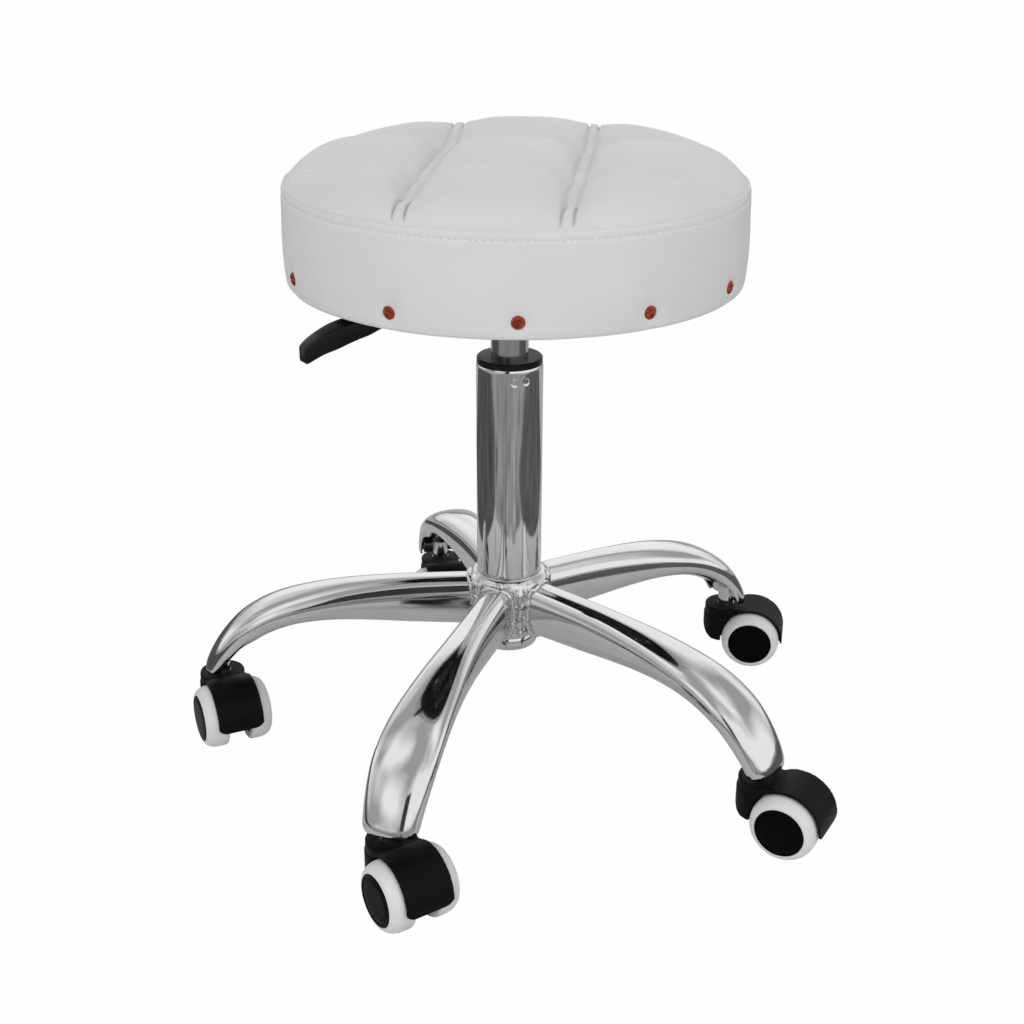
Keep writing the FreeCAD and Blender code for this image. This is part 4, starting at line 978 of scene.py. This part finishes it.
seen.operation = "MAXIMUM"
seen_too = world_nodes.new("ShaderNodeMath")
seen_too.operation = "MAXIMUM"
world_mix = world_nodes.new("ShaderNodeMixShader")
world_out = world_nodes.new("ShaderNodeOutputWorld")
world_links.new(world_rays.outputs["Is Camera Ray"], seen.inputs[0])
world_links.new(world_rays.outputs["Is Glossy Ray"], seen.inputs[1])
world_links.new(seen.outputs["Value"], seen_too.inputs[0])
world_links.new(world_rays.outputs["Is Transmission Ray"], seen_too.inputs[1])
world_links.new(seen_too.outputs["Value"], world_mix.inputs["Fac"])
world_links.new(plain.outputs["Background"], world_mix.inputs[1])
world_links.new(gloss_mix.outputs["Shader"], world_mix.inputs[2])
world_links.new(world_mix.outputs["Shader"], world_out.inputs["Surface"])


def soft_light(name, place, aim, size, power):
    """A soft light, aimed at a point, that mirrors don't show."""
    light = bpy.data.lights.new(name, "AREA")
    light.shape = "RECTANGLE"
    light.size, light.size_y = size
    light.energy = power
    item = bpy.data.objects.new(name, light)
    item.visible_glossy = False
    item.location = place
    item.rotation_euler = (Vector(aim) - Vector(place)).to_track_quat("-Z", "Y").to_euler()
    bpy.context.scene.collection.objects.link(item)
    return item


soft_light("key_light", (-1.6, -2.2, 1.7), (0, 0, 0.3), (2.6, 2.2), 38.0)
soft_light("fill_light", (1.9, -1.6, 1.4), (0, 0, 0.3), (2.2, 2.0), 22.0)
soft_light("top_light", (0.1, 0.4, 2.3), (0, 0, 0.3), (2.4, 2.0), 7.5)

# Plain grey cards flat on the floor, which only gloss shows, as the dark room round a
# studio table does: direction from the column, near and far end, width, grey, level.
CARDS = (
    ("front_card", 0.0, 0.34, 2.6, 2.4, 0.34, 1.0),
    ("left_card", -101.0, 0.32, 1.8, 1.15, 0.105, 2.0),
    ("right_card", 88.0, 0.34, 1.8, 1.0, 0.13, 3.0),
    ("light_strip", 17.0, 0.3, 2.0, 0.07, 0.46, 4.0),
    ("pale_strip", -49.0, 0.2, 2.0, 0.02, 0.5, 5.0),
    ("dark_strip", -12.0, 0.2, 2.0, 0.02, 0.08, 6.0),
)


def grey_material(name, grey):
    """A flat grey that glows, with soft clouds."""
    material = bpy.data.materials.new(name)
    material.use_nodes = True
    nodes = material.node_tree.nodes
    links = material.node_tree.links
    nodes.clear()
    place = nodes.new("ShaderNodeTexCoord")
    cloud = nodes.new("ShaderNodeTexNoise")
    cloud.inputs["Scale"].default_value = 7.0
    cloud.inputs["Detail"].default_value = 3.0
    tint = nodes.new("ShaderNodeValToRGB")
    tint.color_ramp.elements[0].position = 0.3
    tint.color_ramp.elements[0].color = (grey * 0.55, grey * 0.55, grey * 0.55, 1.0)
    tint.color_ramp.elements[1].position = 0.7
    tint.color_ramp.elements[1].color = (grey * 1.4, grey * 1.4, grey * 1.4, 1.0)
    glow = nodes.new("ShaderNodeEmission")
    out = nodes.new("ShaderNodeOutputMaterial")
    links.new(place.outputs["Object"], cloud.inputs["Vector"])
    links.new(cloud.outputs["Fac"], tint.inputs["Fac"])
    links.new(tint.outputs["Color"], glow.inputs["Color"])
    links.new(glow.outputs["Emission"], out.inputs["Surface"])
    return material


def gloss_only(card, grey):
    """Gives a card its grey and hides it from everything but gloss."""
    card.data.materials.append(grey_material(card.name, grey))
    card.visible_camera = False
    card.visible_diffuse = False
    card.visible_shadow = False
    card.visible_transmission = False


def grey_card(name, direction, near, far, width, grey, level):
    """A flat card on the floor that runs out from the column."""
    turn = math.radians(direction)
    middle = (near + far) / 2
    gloss_only(stage_plane(name, (width, far - near),
                           (middle * math.sin(turn), -middle * math.cos(turn), level * MM),
                           (0.0, 0.0, turn)), grey)


for card_row in CARDS:
    grey_card(*card_row)
gloss_only(stage_plane("standing_card", (0.55, 1.7), (-0.35, -2.6, 1.0),
                       (math.pi / 2, 0.0, 0.0)), 0.05)

# Camera: place in millimetres, angles in degrees, focal length in picture widths.
CAMERA_PLACE = (0.0, -1061.2, 659.2)
CAMERA_YAW, CAMERA_PITCH, CAMERA_ROLL = 0.118, 23.62, 0.245
CAMERA_FOCAL = 1499.5 / 1024.0

yaw, pitch, roll = (math.radians(angle) for angle in (CAMERA_YAW, CAMERA_PITCH, CAMERA_ROLL))
ahead = Vector((math.sin(yaw) * math.cos(pitch), math.cos(yaw) * math.cos(pitch),
                -math.sin(pitch)))
right = Vector((math.cos(yaw), -math.sin(yaw), 0.0))
upward = right.cross(ahead)
right, upward = (right * math.cos(roll) + upward * math.sin(roll),
                 upward * math.cos(roll) - right * math.sin(roll))
camera_data = bpy.data.cameras.new("camera")
camera_data.sensor_width = 36.0
camera_data.lens = 36.0 * CAMERA_FOCAL
camera_data.clip_start = 0.05
camera_data.clip_end = 50.0
camera = bpy.data.objects.new("camera", camera_data)
camera.matrix_world = Matrix((
    (right.x, upward.x, -ahead.x, CAMERA_PLACE[0] * MM),
    (right.y, upward.y, -ahead.y, CAMERA_PLACE[1] * MM),
    (right.z, upward.z, -ahead.z, CAMERA_PLACE[2] * MM),
    (0.0, 0.0, 0.0, 1.0)))
bpy.context.scene.collection.objects.link(camera)
bpy.context.scene.camera = camera
bpy.context.scene.view_settings.view_transform = "Standard"
